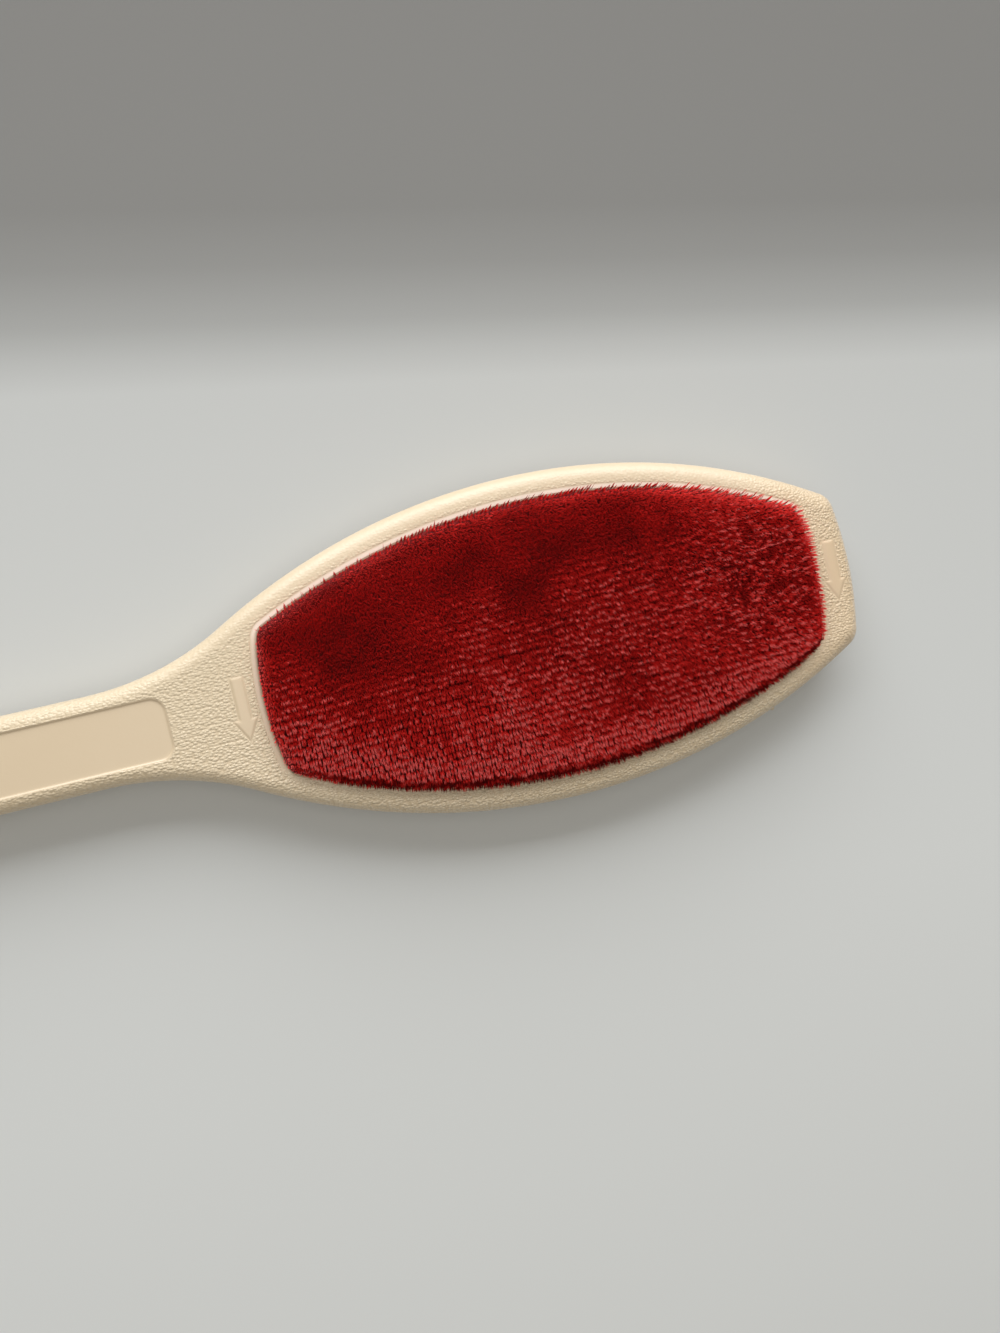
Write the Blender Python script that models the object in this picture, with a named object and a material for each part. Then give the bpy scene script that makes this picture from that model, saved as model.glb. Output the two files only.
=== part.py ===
"""Double-sided lint brush: one moulded head and handle with a pile pad let into each face.

X runs along the brush, from the handle end to the tip of the head. Y runs across it, and the
front pad faces up, along Z. The brush lies on its back pad, with the ground at Z = 0. A half turn
about the long line through the middle of the moulding lays the brush on itself, so each back
piece is its front piece turned over. All sizes are in metres.
"""

import math

import bmesh
import bpy
from mathutils import Vector

# The moulding
OVERALL_LENGTH = 0.3100
BODY_THICKNESS = 0.0080
EDGE_RADIUS = 0.0030
HEAD_WIDTH = 0.0700
HEAD_WIDEST_FROM_TIP = 0.0702
HEAD_TIP_SIDE_RADIUS = 0.1315
HEAD_NECK_SIDE_RADIUS = 0.1356
TIP_EDGE_RADIUS = 0.0800
TIP_CORNER_RADIUS = 0.0036
NECK_RADIUS = 0.0583
HANDLE_WIDTH = 0.0190

# The hole to hang it by
HANG_HOLE_DIAMETER = 0.0080
HANG_HOLE_FROM_END = 0.0115
HANG_HOLE_ROUNDING = 0.0008

# The recess that takes a pad, alike in both faces
RECESS_LENGTH = 0.1251
RECESS_FROM_TIP = 0.0084
RECESS_SIDE_BORDER = 0.0047
RECESS_DEPTH = 0.0014
RECESS_END_RADIUS = 0.0650
RECESS_CORNER_RADIUS = 0.0045

# The bare label panel, alike in both faces
PANEL_FROM_TIP = 0.1510
PANEL_FROM_END = 0.0410
PANEL_SIDE_BORDER = 0.0032
PANEL_CORNER_RADIUS = 0.0030
PANEL_DEPTH = 0.0004

# The raised arrows beside the pad, which show the way the nap lies
ARROW_LENGTH = 0.0131
ARROW_HEAD_LENGTH = 0.0044
ARROW_HEAD_WIDTH = 0.0048
ARROW_SHAFT_WIDTH = 0.0025
ARROW_HEIGHT = 0.0003
ARROW_FROM_RECESS = 0.0027

# The pad, from the recess floor outwards
LAYER_GAP = 0.0003
LAYER_EDGE_CLEARANCE = 0.0004
ADHESIVE_THICKNESS = 0.0002
FOAM_EDGE_THICKNESS = 0.0004
FOAM_CROWN = 0.0013
CREST_FROM_END = 0.0220
CLOTH_THICKNESS = 0.0004
PILE_HEIGHT = 0.0022
PILE_EDGE_CLEARANCE = 0.0008
PILE_ROOT_INSET = 0.0005
PILE_EDGE_ROUNDING = 0.0016
PILE_LEAN = 0.0004
REST_FLAT_DEPTH = 0.0005

# One overrun for every cut, and the depth to which a raised shape is rooted
CUT_OVERRUN = 0.0010

# Shares chosen by eye
CROWN_POWER_SHARE = 2.2
SMALLEST_CORNER_SHARE = 0.15
CROWN_RING_SHARES = (0.06, 0.16, 0.30, 0.50, 0.72, 0.92)

# How finely the round shapes are cut
EDGE_SEGMENTS = 4
BODY_SIDE_SEGMENTS = 11
PAD_SIDE_SEGMENTS = 6
END_SEGMENTS = 4
CORNER_SEGMENTS = 3
NECK_SEGMENTS = 9
HANDLE_END_SEGMENTS = 8
PANEL_CORNER_SEGMENTS = 4
HOLE_SEGMENTS = 24
HOLE_ROUNDING_SEGMENTS = 3
PILE_EDGE_SEGMENTS = 3
SMOOTH_ANGLE = math.radians(40)

# Colour, in linear light, and roughness
FINISHES = {
    "handle_body": ((0.72, 0.60, 0.42), 0.45),
    "adhesive_film": ((0.80, 0.74, 0.58), 0.30),
    "foam_pad": ((0.78, 0.76, 0.70), 0.95),
    "ground_cloth": ((0.22, 0.008, 0.008), 0.90),
    "pile": ((0.33, 0.010, 0.009), 0.85),
}

# Places that follow from the sizes
TIP_X = OVERALL_LENGTH / 2
HANDLE_END_X = -OVERALL_LENGTH / 2
WIDEST_X = TIP_X - HEAD_WIDEST_FROM_TIP
RECESS_TIP_X = TIP_X - RECESS_FROM_TIP
RECESS_NECK_X = RECESS_TIP_X - RECESS_LENGTH
FACE_Z = BODY_THICKNESS / 2
RECESS_FLOOR_Z = FACE_Z - RECESS_DEPTH
ADHESIVE_Z = RECESS_FLOOR_Z + LAYER_GAP
FOAM_Z = ADHESIVE_Z + ADHESIVE_THICKNESS + LAYER_GAP
CLOTH_Z = FOAM_Z + FOAM_EDGE_THICKNESS + LAYER_GAP
PILE_Z = CLOTH_Z + CLOTH_THICKNESS + LAYER_GAP
PILE_TOP_Z = PILE_Z + FOAM_CROWN + PILE_HEIGHT
MIDDLE_HEIGHT = PILE_TOP_Z - REST_FLAT_DEPTH


def clear_scene():
    """Remove every object that the file starts with."""
    for item in list(bpy.data.objects):
        bpy.data.objects.remove(item, do_unlink=True)


def plain_material(name, finish):
    """A Principled material of one colour."""
    colour, roughness = FINISHES[finish]
    material = bpy.data.materials.new(name)
    material.use_nodes = True
    shader = material.node_tree.nodes["Principled BSDF"]
    shader.inputs["Base Color"].default_value = (*colour, 1.0)
    shader.inputs["Roughness"].default_value = roughness
    shader.inputs["Metallic"].default_value = 0.0
    material.diffuse_color = (*colour, 1.0)
    return material


def arc(centre, radius, start, end, segments, outward=1.0):
    """Points on an arc, each with the way that faces out of the outline there."""
    stations = []
    for step in range(segments + 1):
        angle = start + (end - start) * step / segments
        ray = Vector((math.cos(angle), math.sin(angle)))
        stations.append((centre + radius * ray, outward * ray))
    return stations


def angle_between(start, end):
    """The angle of the line from one point to another."""
    return math.atan2(end.y - start.y, end.x - start.x)


def corner_centre(first_centre, first_reach, second_centre, second_reach):
    """The upper point at the given distances from two centres."""
    apart = second_centre - first_centre
    distance = apart.length
    along = (first_reach ** 2 - second_reach ** 2 + distance ** 2) / (2 * distance)
    across = math.sqrt(first_reach ** 2 - along ** 2)
    direction = apart / distance
    square = Vector((-direction.y, direction.x))
    if square.y < 0:
        square = -square
    return first_centre + along * direction + across * square


def without_repeats(arcs):
    """Arcs joined end to end, with each shared end written once."""
    stations = list(arcs[0])
    for following in arcs[1:]:
        stations.extend(following[1:])
    return stations


def closed_outline(upper_half):
    """The upper half of an outline, from tip to end, and its mirror image below the X axis."""
    lower_half = []
    for point, out in reversed(upper_half[1:-1]):
        lower_half.append((Vector((point.x, -point.y)), Vector((out.x, -out.y))))
    return upper_half + lower_half


def body_outline():
    """The moulding seen from above: a rounded tip, bowed sides, a waisted neck and a round end."""
    half_width = HEAD_WIDTH / 2
    handle_half = HANDLE_WIDTH / 2
    tip_centre = Vector((TIP_X - TIP_EDGE_RADIUS, 0))
    tip_side = Vector((WIDEST_X, half_width - HEAD_TIP_SIDE_RADIUS))
    neck_side = Vector((WIDEST_X, half_width - HEAD_NECK_SIDE_RADIUS))
    end_centre = Vector((HANDLE_END_X + handle_half, 0))
    corner = corner_centre(
        tip_centre, TIP_EDGE_RADIUS - TIP_CORNER_RADIUS,
        tip_side, HEAD_TIP_SIDE_RADIUS - TIP_CORNER_RADIUS)
    tip_angle = angle_between(tip_centre, corner)
    side_angle = angle_between(tip_side, corner)

    neck_y = handle_half + NECK_RADIUS
    reach = HEAD_NECK_SIDE_RADIUS + NECK_RADIUS
    neck_x = WIDEST_X - math.sqrt(reach ** 2 - (neck_y - neck_side.y) ** 2)
    neck_centre = Vector((neck_x, neck_y))
    neck_angle = angle_between(neck_side, neck_centre)

    upright = math.pi / 2
    head_and_neck = without_repeats([
        arc(tip_centre, TIP_EDGE_RADIUS, 0, tip_angle, END_SEGMENTS),
        arc(corner, TIP_CORNER_RADIUS, tip_angle, side_angle, CORNER_SEGMENTS),
        arc(tip_side, HEAD_TIP_SIDE_RADIUS, side_angle, upright, BODY_SIDE_SEGMENTS),
        arc(neck_side, HEAD_NECK_SIDE_RADIUS, upright, neck_angle, BODY_SIDE_SEGMENTS),
        arc(neck_centre, NECK_RADIUS, neck_angle - math.pi, -upright, NECK_SEGMENTS, -1.0),
    ])
    round_end = arc(end_centre, handle_half, upright, math.pi, HANDLE_END_SEGMENTS)
    return closed_outline(head_and_neck + round_end)


def pad_outline(inset):
    """The recess seen from above, drawn in by a distance measured from its wall."""
    half_width = HEAD_WIDTH / 2 - RECESS_SIDE_BORDER
    corner_radius = max(RECESS_CORNER_RADIUS - inset, RECESS_CORNER_RADIUS * SMALLEST_CORNER_SHARE)
    tip_centre = Vector((RECESS_TIP_X - RECESS_END_RADIUS, 0))
    neck_centre = Vector((RECESS_NECK_X + RECESS_END_RADIUS, 0))
    tip_side = Vector((WIDEST_X, half_width - HEAD_TIP_SIDE_RADIUS))
    neck_side = Vector((WIDEST_X, half_width - HEAD_NECK_SIDE_RADIUS))
    end_radius = RECESS_END_RADIUS - inset
    tip_side_radius = HEAD_TIP_SIDE_RADIUS - inset
    neck_side_radius = HEAD_NECK_SIDE_RADIUS - inset
    tip_corner = corner_centre(
        tip_centre, end_radius - corner_radius, tip_side, tip_side_radius - corner_radius)
    neck_corner = corner_centre(
        neck_centre, end_radius - corner_radius, neck_side, neck_side_radius - corner_radius)
    tip_angle = angle_between(tip_centre, tip_corner)
    tip_side_angle = angle_between(tip_side, tip_corner)
    neck_angle = angle_between(neck_centre, neck_corner)
    neck_side_angle = angle_between(neck_side, neck_corner)
    upright = math.pi / 2
    return closed_outline(without_repeats([
        arc(tip_centre, end_radius, 0, tip_angle, END_SEGMENTS),
        arc(tip_corner, corner_radius, tip_angle, tip_side_angle, CORNER_SEGMENTS),
        arc(tip_side, tip_side_radius, tip_side_angle, upright, PAD_SIDE_SEGMENTS),
        arc(neck_side, neck_side_radius, upright, neck_side_angle, PAD_SIDE_SEGMENTS),
        arc(neck_corner, corner_radius, neck_side_angle, neck_angle, CORNER_SEGMENTS),
        arc(neck_centre, end_radius, neck_angle, math.pi, END_SEGMENTS),
    ]))


def panel_outline():
    """The label panel seen from above: a long rectangle with round corners."""
    half_width = HANDLE_WIDTH / 2 - PANEL_SIDE_BORDER
    near_x = TIP_X - PANEL_FROM_TIP - PANEL_CORNER_RADIUS
    far_x = HANDLE_END_X + PANEL_FROM_END + PANEL_CORNER_RADIUS
    corner_y = half_width - PANEL_CORNER_RADIUS
    stations = []
    quarter = math.pi / 2
    corners = ((near_x, corner_y), (far_x, corner_y), (far_x, -corner_y), (near_x, -corner_y))
    for turn, place in enumerate(corners):
        start = turn * quarter
        stations += arc(
            Vector(place), PANEL_CORNER_RADIUS, start, start + quarter, PANEL_CORNER_SEGMENTS)
    return stations


def arrow_outline(centre_x):
    """A plain arrow across the brush, with its head towards -Y."""
    tail_y = ARROW_LENGTH / 2
    point_y = -ARROW_LENGTH / 2
    barb_y = point_y + ARROW_HEAD_LENGTH
    shaft = ARROW_SHAFT_WIDTH / 2
    barb = ARROW_HEAD_WIDTH / 2
    return [
        Vector((centre_x + shaft, barb_y)),
        Vector((centre_x + shaft, tail_y)),
        Vector((centre_x - shaft, tail_y)),
        Vector((centre_x - shaft, barb_y)),
        Vector((centre_x - barb, barb_y)),
        Vector((centre_x, point_y)),
        Vector((centre_x + barb, barb_y)),
    ]


def flat_ring(outline, height):
    """An outline's points at one height."""
    return [Vector((point.x, point.y, height)) for point, out in outline]


def solid_from_rings(name, rings):
    """A closed mesh through rings of points that run anticlockwise, the lowest first."""
    shape = bmesh.new()
    loops = [[shape.verts.new(point) for point in ring] for ring in rings]
    shape.faces.new(list(reversed(loops[0])))
    for lower, upper in zip(loops, loops[1:]):
        for index in range(len(lower)):
            following = (index + 1) % len(lower)
            shape.faces.new((lower[index], lower[following], upper[following], upper[index]))
    shape.faces.new(loops[-1])
    mesh = bpy.data.meshes.new(name)
    shape.to_mesh(mesh)
    shape.free()
    mesh.shade_smooth()
    mesh.set_sharp_from_angle(angle=SMOOTH_ANGLE)
    return mesh


def prism(name, points, low, high):
    """A straight-sided solid on an outline of plain points."""
    rings = [[Vector((point.x, point.y, height)) for point in points] for height in (low, high)]
    return solid_from_rings(name, rings)


def place(name, mesh, parent, turn=0.0):
    """Put a mesh on the brush's middle line, turned about that line."""
    piece = bpy.data.objects.new(name, mesh)
    bpy.context.scene.collection.objects.link(piece)
    piece.parent = parent
    piece.rotation_euler.x = turn
    return piece


def cut_or_join(body, name, mesh, operation, turn=0.0):
    """Cut a shape out of the moulding, or join one to it, with the shape kept as a guide."""
    guide = place(name, mesh, body.parent, turn)
    guide.hide_render = True
    guide.display_type = "WIRE"
    modifier = body.modifiers.new(name, "BOOLEAN")
    modifier.operation = operation
    modifier.solver = "EXACT"
    modifier.object = guide


def body_mesh():
    """The moulding before its recesses, with every outer edge rounded."""
    outline = body_outline()
    sections = []
    for step in range(EDGE_SEGMENTS + 1):
        angle = step / EDGE_SEGMENTS * math.pi / 2
        inset = EDGE_RADIUS * (1 - math.sin(angle))
        drop = EDGE_RADIUS * (1 - math.cos(angle))
        sections.append((inset, FACE_Z - drop))
    rings = []
    for inset, height in [(inset, -height) for inset, height in sections] + sections[::-1]:
        rings.append([
            Vector((point.x - inset * out.x, point.y - inset * out.y, height))
            for point, out in outline])
    return solid_from_rings("moulding", rings)


def hang_hole_mesh():
    """The shape of the hang hole, which flares where its rims are rounded."""
    centre_x = HANDLE_END_X + HANG_HOLE_FROM_END
    radius = HANG_HOLE_DIAMETER / 2
    flare = []
    for step in range(HOLE_ROUNDING_SEGMENTS + 1):
        angle = step / HOLE_ROUNDING_SEGMENTS * math.pi / 2
        widening = HANG_HOLE_ROUNDING * (1 - math.cos(angle))
        height = FACE_Z - HANG_HOLE_ROUNDING * (1 - math.sin(angle))
        flare.append((radius + widening, height))
    flare.append((radius + HANG_HOLE_ROUNDING, FACE_Z + CUT_OVERRUN))
    rings = []
    for ring_radius, height in [(r, -z) for r, z in reversed(flare)] + flare:
        ring = []
        for step in range(HOLE_SEGMENTS):
            angle = step / HOLE_SEGMENTS * math.tau
            ring.append(Vector((
                centre_x + ring_radius * math.cos(angle), ring_radius * math.sin(angle), height)))
        rings.append(ring)
    return solid_from_rings("hang_hole", rings)


def build_handle_body(parent):
    """The head, neck and handle, moulded in one piece."""
    body = place("handle_body", body_mesh(), parent)
    body.data.materials.append(plain_material("handle_body", "handle_body"))

    recess = prism(
        "recess", [point for point, out in pad_outline(0)], RECESS_FLOOR_Z, FACE_Z + CUT_OVERRUN)
    panel = prism(
        "panel", [point for point, out in panel_outline()],
        FACE_Z - PANEL_DEPTH, FACE_Z + CUT_OVERRUN)
    tip_arrow_x = RECESS_TIP_X + ARROW_FROM_RECESS
    neck_arrow_x = RECESS_NECK_X - ARROW_FROM_RECESS
    arrows = {
        "tip_arrow": prism(
            "tip_arrow", arrow_outline(tip_arrow_x),
            FACE_Z - CUT_OVERRUN, FACE_Z + ARROW_HEIGHT),
        "neck_arrow": prism(
            "neck_arrow", arrow_outline(neck_arrow_x),
            FACE_Z - CUT_OVERRUN, FACE_Z + ARROW_HEIGHT),
    }
    for side, turn in (("front", 0.0), ("back", math.pi)):
        for name, mesh in arrows.items():
            cut_or_join(body, side + "_" + name, mesh, "UNION", turn)
        cut_or_join(body, side + "_recess", recess, "DIFFERENCE", turn)
        cut_or_join(body, side + "_panel", panel, "DIFFERENCE", turn)
    cut_or_join(body, "hang_hole", hang_hole_mesh(), "DIFFERENCE")
    return body


def crest_foot(point):
    """The nearest place on the crest, the straight line along which the pad is highest."""
    lowest = RECESS_NECK_X + CREST_FROM_END
    highest = RECESS_TIP_X - CREST_FROM_END
    return Vector((min(max(point.x, lowest), highest), 0))


def crowned_ring(inset, share, base):
    """A ring on a crowned surface, drawn in from the wall and then by a share of the way in."""
    ring = []
    for (wall, wall_out), (edge, edge_out) in zip(pad_outline(0), pad_outline(inset)):
        foot = crest_foot(wall)
        point = foot + (edge - foot) * (1 - share)
        nearness = (point - foot).length / (wall - foot).length
        rise = FOAM_CROWN * (1 - nearness ** CROWN_POWER_SHARE)
        ring.append(Vector((point.x, point.y, base + rise)))
    return ring


def crowned_rings(inset, base):
    """Rings of a surface that follows the crown, from its edge inwards."""
    return [crowned_ring(inset, share, base) for share in (0,) + CROWN_RING_SHARES]


def adhesive_mesh():
    """The flat film that holds the pad in its recess."""
    outline = pad_outline(LAYER_EDGE_CLEARANCE)
    return solid_from_rings("adhesive", [
        flat_ring(outline, ADHESIVE_Z),
        flat_ring(outline, ADHESIVE_Z + ADHESIVE_THICKNESS)])


def foam_mesh():
    """The foam that gives the pad its crown, flat where it is stuck down."""
    base = [flat_ring(pad_outline(LAYER_EDGE_CLEARANCE), FOAM_Z)]
    return solid_from_rings(
        "foam", base + crowned_rings(LAYER_EDGE_CLEARANCE, FOAM_Z + FOAM_EDGE_THICKNESS))


def cloth_mesh():
    """The woven ground cloth, drawn over the foam."""
    under = crowned_rings(LAYER_EDGE_CLEARANCE, CLOTH_Z)
    over = crowned_rings(LAYER_EDGE_CLEARANCE, CLOTH_Z + CLOTH_THICKNESS)
    return solid_from_rings("cloth", under[::-1] + over)


def leaning(ring, share):
    """A ring moved across the brush by its share of the nap's lean."""
    return [point - Vector((0, PILE_LEAN * share, 0)) for point in ring]


def pile_mesh(rests):
    """The pile as one crowned solid with drawn-in sides, cut flat where the brush rests on it."""
    rings = crowned_rings(PILE_EDGE_CLEARANCE + PILE_ROOT_INSET, PILE_Z)[::-1]
    side_height = PILE_HEIGHT - PILE_EDGE_ROUNDING
    for step in range(PILE_EDGE_SEGMENTS + 1):
        angle = step / PILE_EDGE_SEGMENTS * math.pi / 2
        inset = PILE_EDGE_CLEARANCE + PILE_EDGE_ROUNDING * (1 - math.cos(angle))
        rise = side_height + PILE_EDGE_ROUNDING * math.sin(angle)
        rings.append(leaning(crowned_ring(inset, 0, PILE_Z + rise), rise / PILE_HEIGHT))
    shares = list(CROWN_RING_SHARES)
    if rests:
        shares.append(1 - (REST_FLAT_DEPTH / FOAM_CROWN) ** (1 / CROWN_POWER_SHARE))
    top_inset = PILE_EDGE_CLEARANCE + PILE_EDGE_ROUNDING
    for share in sorted(shares):
        rings.append(leaning(crowned_ring(top_inset, share, PILE_Z + PILE_HEIGHT), 1))
    if rests:
        for point in (point for ring in rings for point in ring):
            point.z = min(point.z, PILE_TOP_Z - REST_FLAT_DEPTH)
    return solid_from_rings("resting_pile" if rests else "pile", rings)


def build_pads(parent):
    """The layers of the pads on both faces, each layer its own piece."""
    for side, turn in (("front", 0.0), ("back", math.pi)):
        layers = {
            "adhesive_film": adhesive_mesh(),
            "foam_pad": foam_mesh(),
            "ground_cloth": cloth_mesh(),
            "pile": pile_mesh(rests=side == "back"),
        }
        for layer, mesh in layers.items():
            name = side + "_" + layer
            piece = place(name, mesh, parent, turn)
            piece.data.materials.append(plain_material(name, layer))


def main():
    """Model the whole brush."""
    clear_scene()
    brush = bpy.data.objects.new("lint_brush", None)
    bpy.context.scene.collection.objects.link(brush)
    brush.location.z = MIDDLE_HEIGHT
    build_handle_body(brush)
    build_pads(brush)


main()
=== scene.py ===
"""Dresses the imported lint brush: a grained moulding, two velour pads and a plain stage.

X runs along the brush towards the tip of the head, Y across it, and Z up. The front pad faces up
and its nap lies towards -Y. All sizes are in metres. A half turn about the long line through the
middle of the moulding lays the brush on itself, so each back piece is its front piece turned over.
"""

import math
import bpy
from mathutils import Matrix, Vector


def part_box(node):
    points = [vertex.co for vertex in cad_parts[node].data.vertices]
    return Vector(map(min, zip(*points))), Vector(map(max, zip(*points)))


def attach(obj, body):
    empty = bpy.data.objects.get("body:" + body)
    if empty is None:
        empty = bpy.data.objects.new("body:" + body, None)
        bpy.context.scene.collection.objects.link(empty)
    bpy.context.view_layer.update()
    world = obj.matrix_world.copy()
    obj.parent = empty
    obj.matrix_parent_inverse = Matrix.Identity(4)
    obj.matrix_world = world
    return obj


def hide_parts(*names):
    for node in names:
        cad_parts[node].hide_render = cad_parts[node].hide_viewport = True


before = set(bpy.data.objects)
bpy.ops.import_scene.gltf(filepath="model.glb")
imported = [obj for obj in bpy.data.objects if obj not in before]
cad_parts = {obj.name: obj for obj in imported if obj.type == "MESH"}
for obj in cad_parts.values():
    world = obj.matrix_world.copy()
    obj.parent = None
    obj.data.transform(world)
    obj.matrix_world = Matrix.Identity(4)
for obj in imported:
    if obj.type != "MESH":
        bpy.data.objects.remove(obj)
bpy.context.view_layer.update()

from types import SimpleNamespace

import bmesh
import bpy
import numpy as np
from bpy.props import FloatProperty, FloatVectorProperty, IntProperty, PointerProperty
from mathutils import Matrix, Vector
from mathutils.geometry import delaunay_2d_cdt
from mathutils.kdtree import KDTree

bl_info = {
    "name": "Lint brush",
    "version": (1, 0, 0),
    "blender": (4, 5, 0),
    "location": "View3D > Sidebar > Lint brush",
    "description": "Grained moulding, velour pads and a plain stage for the lint brush",
    "category": "Object",
}

# The moulding, as in the part's source
OVERALL_LENGTH = 0.3100
BODY_THICKNESS = 0.0080
EDGE_RADIUS = 0.0030
HEAD_WIDTH = 0.0700
HEAD_WIDEST_FROM_TIP = 0.0702
HEAD_TIP_SIDE_RADIUS = 0.1315
HEAD_NECK_SIDE_RADIUS = 0.1356
TIP_EDGE_RADIUS = 0.0800
NECK_RADIUS = 0.0583
HANDLE_WIDTH = 0.0190
HANG_HOLE_DIAMETER = 0.0080
HANG_HOLE_FROM_END = 0.0115
HANG_HOLE_ROUNDING = 0.0008
RECESS_LENGTH = 0.1251
RECESS_FROM_TIP = 0.0084
RECESS_SIDE_BORDER = 0.0047
RECESS_DEPTH = 0.0014
RECESS_END_RADIUS = 0.0650
RECESS_CORNER_RADIUS = 0.0045
PANEL_FROM_TIP = 0.1510
PANEL_FROM_END = 0.0410
PANEL_SIDE_BORDER = 0.0032
PANEL_CORNER_RADIUS = 0.0030
ARROW_LENGTH = 0.0131
ARROW_HEAD_LENGTH = 0.0044
ARROW_HEAD_WIDTH = 0.0048
ARROW_SHAFT_WIDTH = 0.0025
ARROW_FROM_RECESS = 0.0027

# Drawn otherwise than the solid, after the photograph: the tip's edge lies further in, with
# rounder corners, the head's sides are rounded over more, and the recess is shorter
TIP_DRAW = 0.00065
DRAWN_CORNER_RADIUS = 0.0046
HEAD_ROUNDING_SHARE = 0.30
HEAD_ROUNDING_RUN = (0.010, 0.040)
RECESS_END_SHIFT = 0.00052

# The pad's layers, as in the part's source
LAYER_GAP = 0.0003
ADHESIVE_THICKNESS = 0.0002
FOAM_EDGE_THICKNESS = 0.0004
FOAM_CROWN = 0.0013
CREST_FROM_END = 0.0220
CLOTH_THICKNESS = 0.0004
PILE_HEIGHT = 0.0022
REST_FLAT_DEPTH = 0.0005
CROWN_POWER_SHARE = 2.2

# Places that follow from the sizes, with Z measured from the middle of the moulding
TIP_X = OVERALL_LENGTH / 2
HANDLE_END_X = -OVERALL_LENGTH / 2
WIDEST_X = TIP_X - HEAD_WIDEST_FROM_TIP
RECESS_TIP_X = TIP_X - RECESS_FROM_TIP
RECESS_NECK_X = RECESS_TIP_X - RECESS_LENGTH
FACE_Z = BODY_THICKNESS / 2
RECESS_FLOOR_Z = FACE_Z - RECESS_DEPTH
FOAM_Z = RECESS_FLOOR_Z + ADHESIVE_THICKNESS + 2 * LAYER_GAP
CLOTH_Z = FOAM_Z + FOAM_EDGE_THICKNESS + LAYER_GAP
CLOTH_TOP_Z = CLOTH_Z + CLOTH_THICKNESS
PILE_TOP_Z = CLOTH_TOP_Z + LAYER_GAP + FOAM_CROWN + PILE_HEIGHT
REST_Z = PILE_TOP_Z - REST_FLAT_DEPTH
MOULDING_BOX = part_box("handle_body")
MIDDLE_HEIGHT = (MOULDING_BOX[0].z + MOULDING_BOX[1].z) / 2

# How finely the moulding is drawn
OUTLINE_SPACING = 0.00048
FRONT_SPACING = 0.00030
BACK_SPACING = 0.00042
SHAPE_SPACING = 0.00040
LAYER_SPACING = 0.00100
ROUND_EDGE_STEPS = 9
HOLE_STEPS = 72
HOLE_ROUNDING_STEPS = 6
SMOOTH_ANGLE = math.radians(40)
WELD_DISTANCE = 0.000002
STREWN_CLEAR_SHARE = 0.62
UPRIGHT = math.pi / 2

# The parting line round the edge, and the wisp of plastic left where the mould was filled
PARTING_HALF_WIDTH = 0.00014
PARTING_HEIGHT = 0.00008
WISP_X = 0.1303
WISP_HALF_WIDTH = 0.00055
WISP_LENGTH = 0.00085

# Soft steps of the face, each as (distance outwards, height) from the drawn line
RECESS_STEPS = (
    (0.00014, 0.0), (0.00004, -0.00001), (-0.00010, -0.00002), (-0.00030, -0.00004),
    (-0.00055, -0.00007), (-0.00080, -0.00012), (-0.00100, -0.00024), (-0.00113, -0.00050),
    (-0.00120, -0.00085), (-0.00123, -0.00115), (-0.00123, -RECESS_DEPTH),
    (-0.00183, -RECESS_DEPTH))
PANEL_STEPS = (
    (0.00012, 0.0), (0.00003, -0.00003), (-0.00007, -0.00009), (-0.00017, -0.00018),
    (-0.00029, -0.00025), (-0.00059, -0.00027), (-0.00119, -0.00027))
ARROW_STEPS = (
    (0.00017, 0.0), (0.00006, 0.00002), (-0.00008, 0.00008), (-0.00021, 0.00013),
    (-0.00036, 0.000168), (-0.00054, 0.00018))

# The lip of the recess: flatter on the head's +Y side, where its painted pink glow from the pile is
# fullest, and grained on its -Y side
LIP_EDGE = -0.0009
LIP_SIDE_SPREAD = 1.3
LIP_FLATTER_SHARE = 0.65
LIP_GLOW_STEPS = 3
LIP_LEAST_GLOW_SHARE = 0.30
LIP_GRAIN_SHARE = 0.8

# The grain tightens from this place to the tip, and is polished off the head's +Y edge
GRAIN_TURNS_X = 0.0200
GRAIN_TIGHTENING = 1.3
GRAIN_MEAN_SHARE = 0.6
POLISHED_SHARE = 0.55
POLISHED_NECK_RUN = (-0.02, 0.03)
POLISHED_TIP_RUN = (0.142, 0.125)
POLISHED_SIDE_RUN = (-0.010, 0.012)

# Ramps of the plastic's finish along X and Y, each as (rise per metre, start)
BY_TIP_RAMP = (80.0, -10.4)
BY_LOW_RAMP = (-100.0, -2.2)

# Colours: tones that a colour is multiplied by, as (stop, tone) or alone
WHITE = (1.0, 1.0, 1.0)
CLOUD_TONES = ((0.30, (0.94, 0.93, 0.90)), (0.70, WHITE))
# Painted shade in the creases of the grain
CREASE_SHADE_TONES = ((0.15, WHITE), (0.80, (0.88, 0.84, 0.78)))
SMOOTH_TONES = ((0.0, (0.95, 0.92, 0.90)), (0.4, WHITE))
# A painted warm reflection of the red pile by the tip
TIP_REFLECTION_TONES = ((0.0, WHITE), (1.0, (1.0, 0.95, 0.91)))
# The lip's painted pink glow of light from the pile
LIP_GLOW_TONE = (1.30, 1.32, 1.56)
# Painted shade in the foam's pores and between the cloth's threads
FOAM_PORE_SHADE_TONE = (0.62, 0.62, 0.62)
CLOTH_THREAD_SHADE_TONE = (0.35, 0.35, 0.35)
FILM_COLOURS = ((0.3, (0.74, 0.60, 0.43)), (0.7, (0.80, 0.67, 0.50)))
# The fibres' painted light and shade: from deep shade through their own red to pink highlights
FIBRE_LIGHT_TONES = (
    (0.02, (0.28, 0.24, 0.24)), (0.34, WHITE), (0.58, (1.35, 2.6, 2.6)),
    (0.76, (1.60, 5.4, 5.6)), (0.98, (1.75, 15.0, 17.0)))
# Painted shade down towards the fibres' roots
FIBRE_ROOT_SHADE_TONES = (
    (0.0, (0.36, 0.32, 0.32)), (0.55, (0.60, 0.55, 0.55)), (0.85, (0.95, 0.95, 0.95)),
    (1.0, WHITE))

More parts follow.
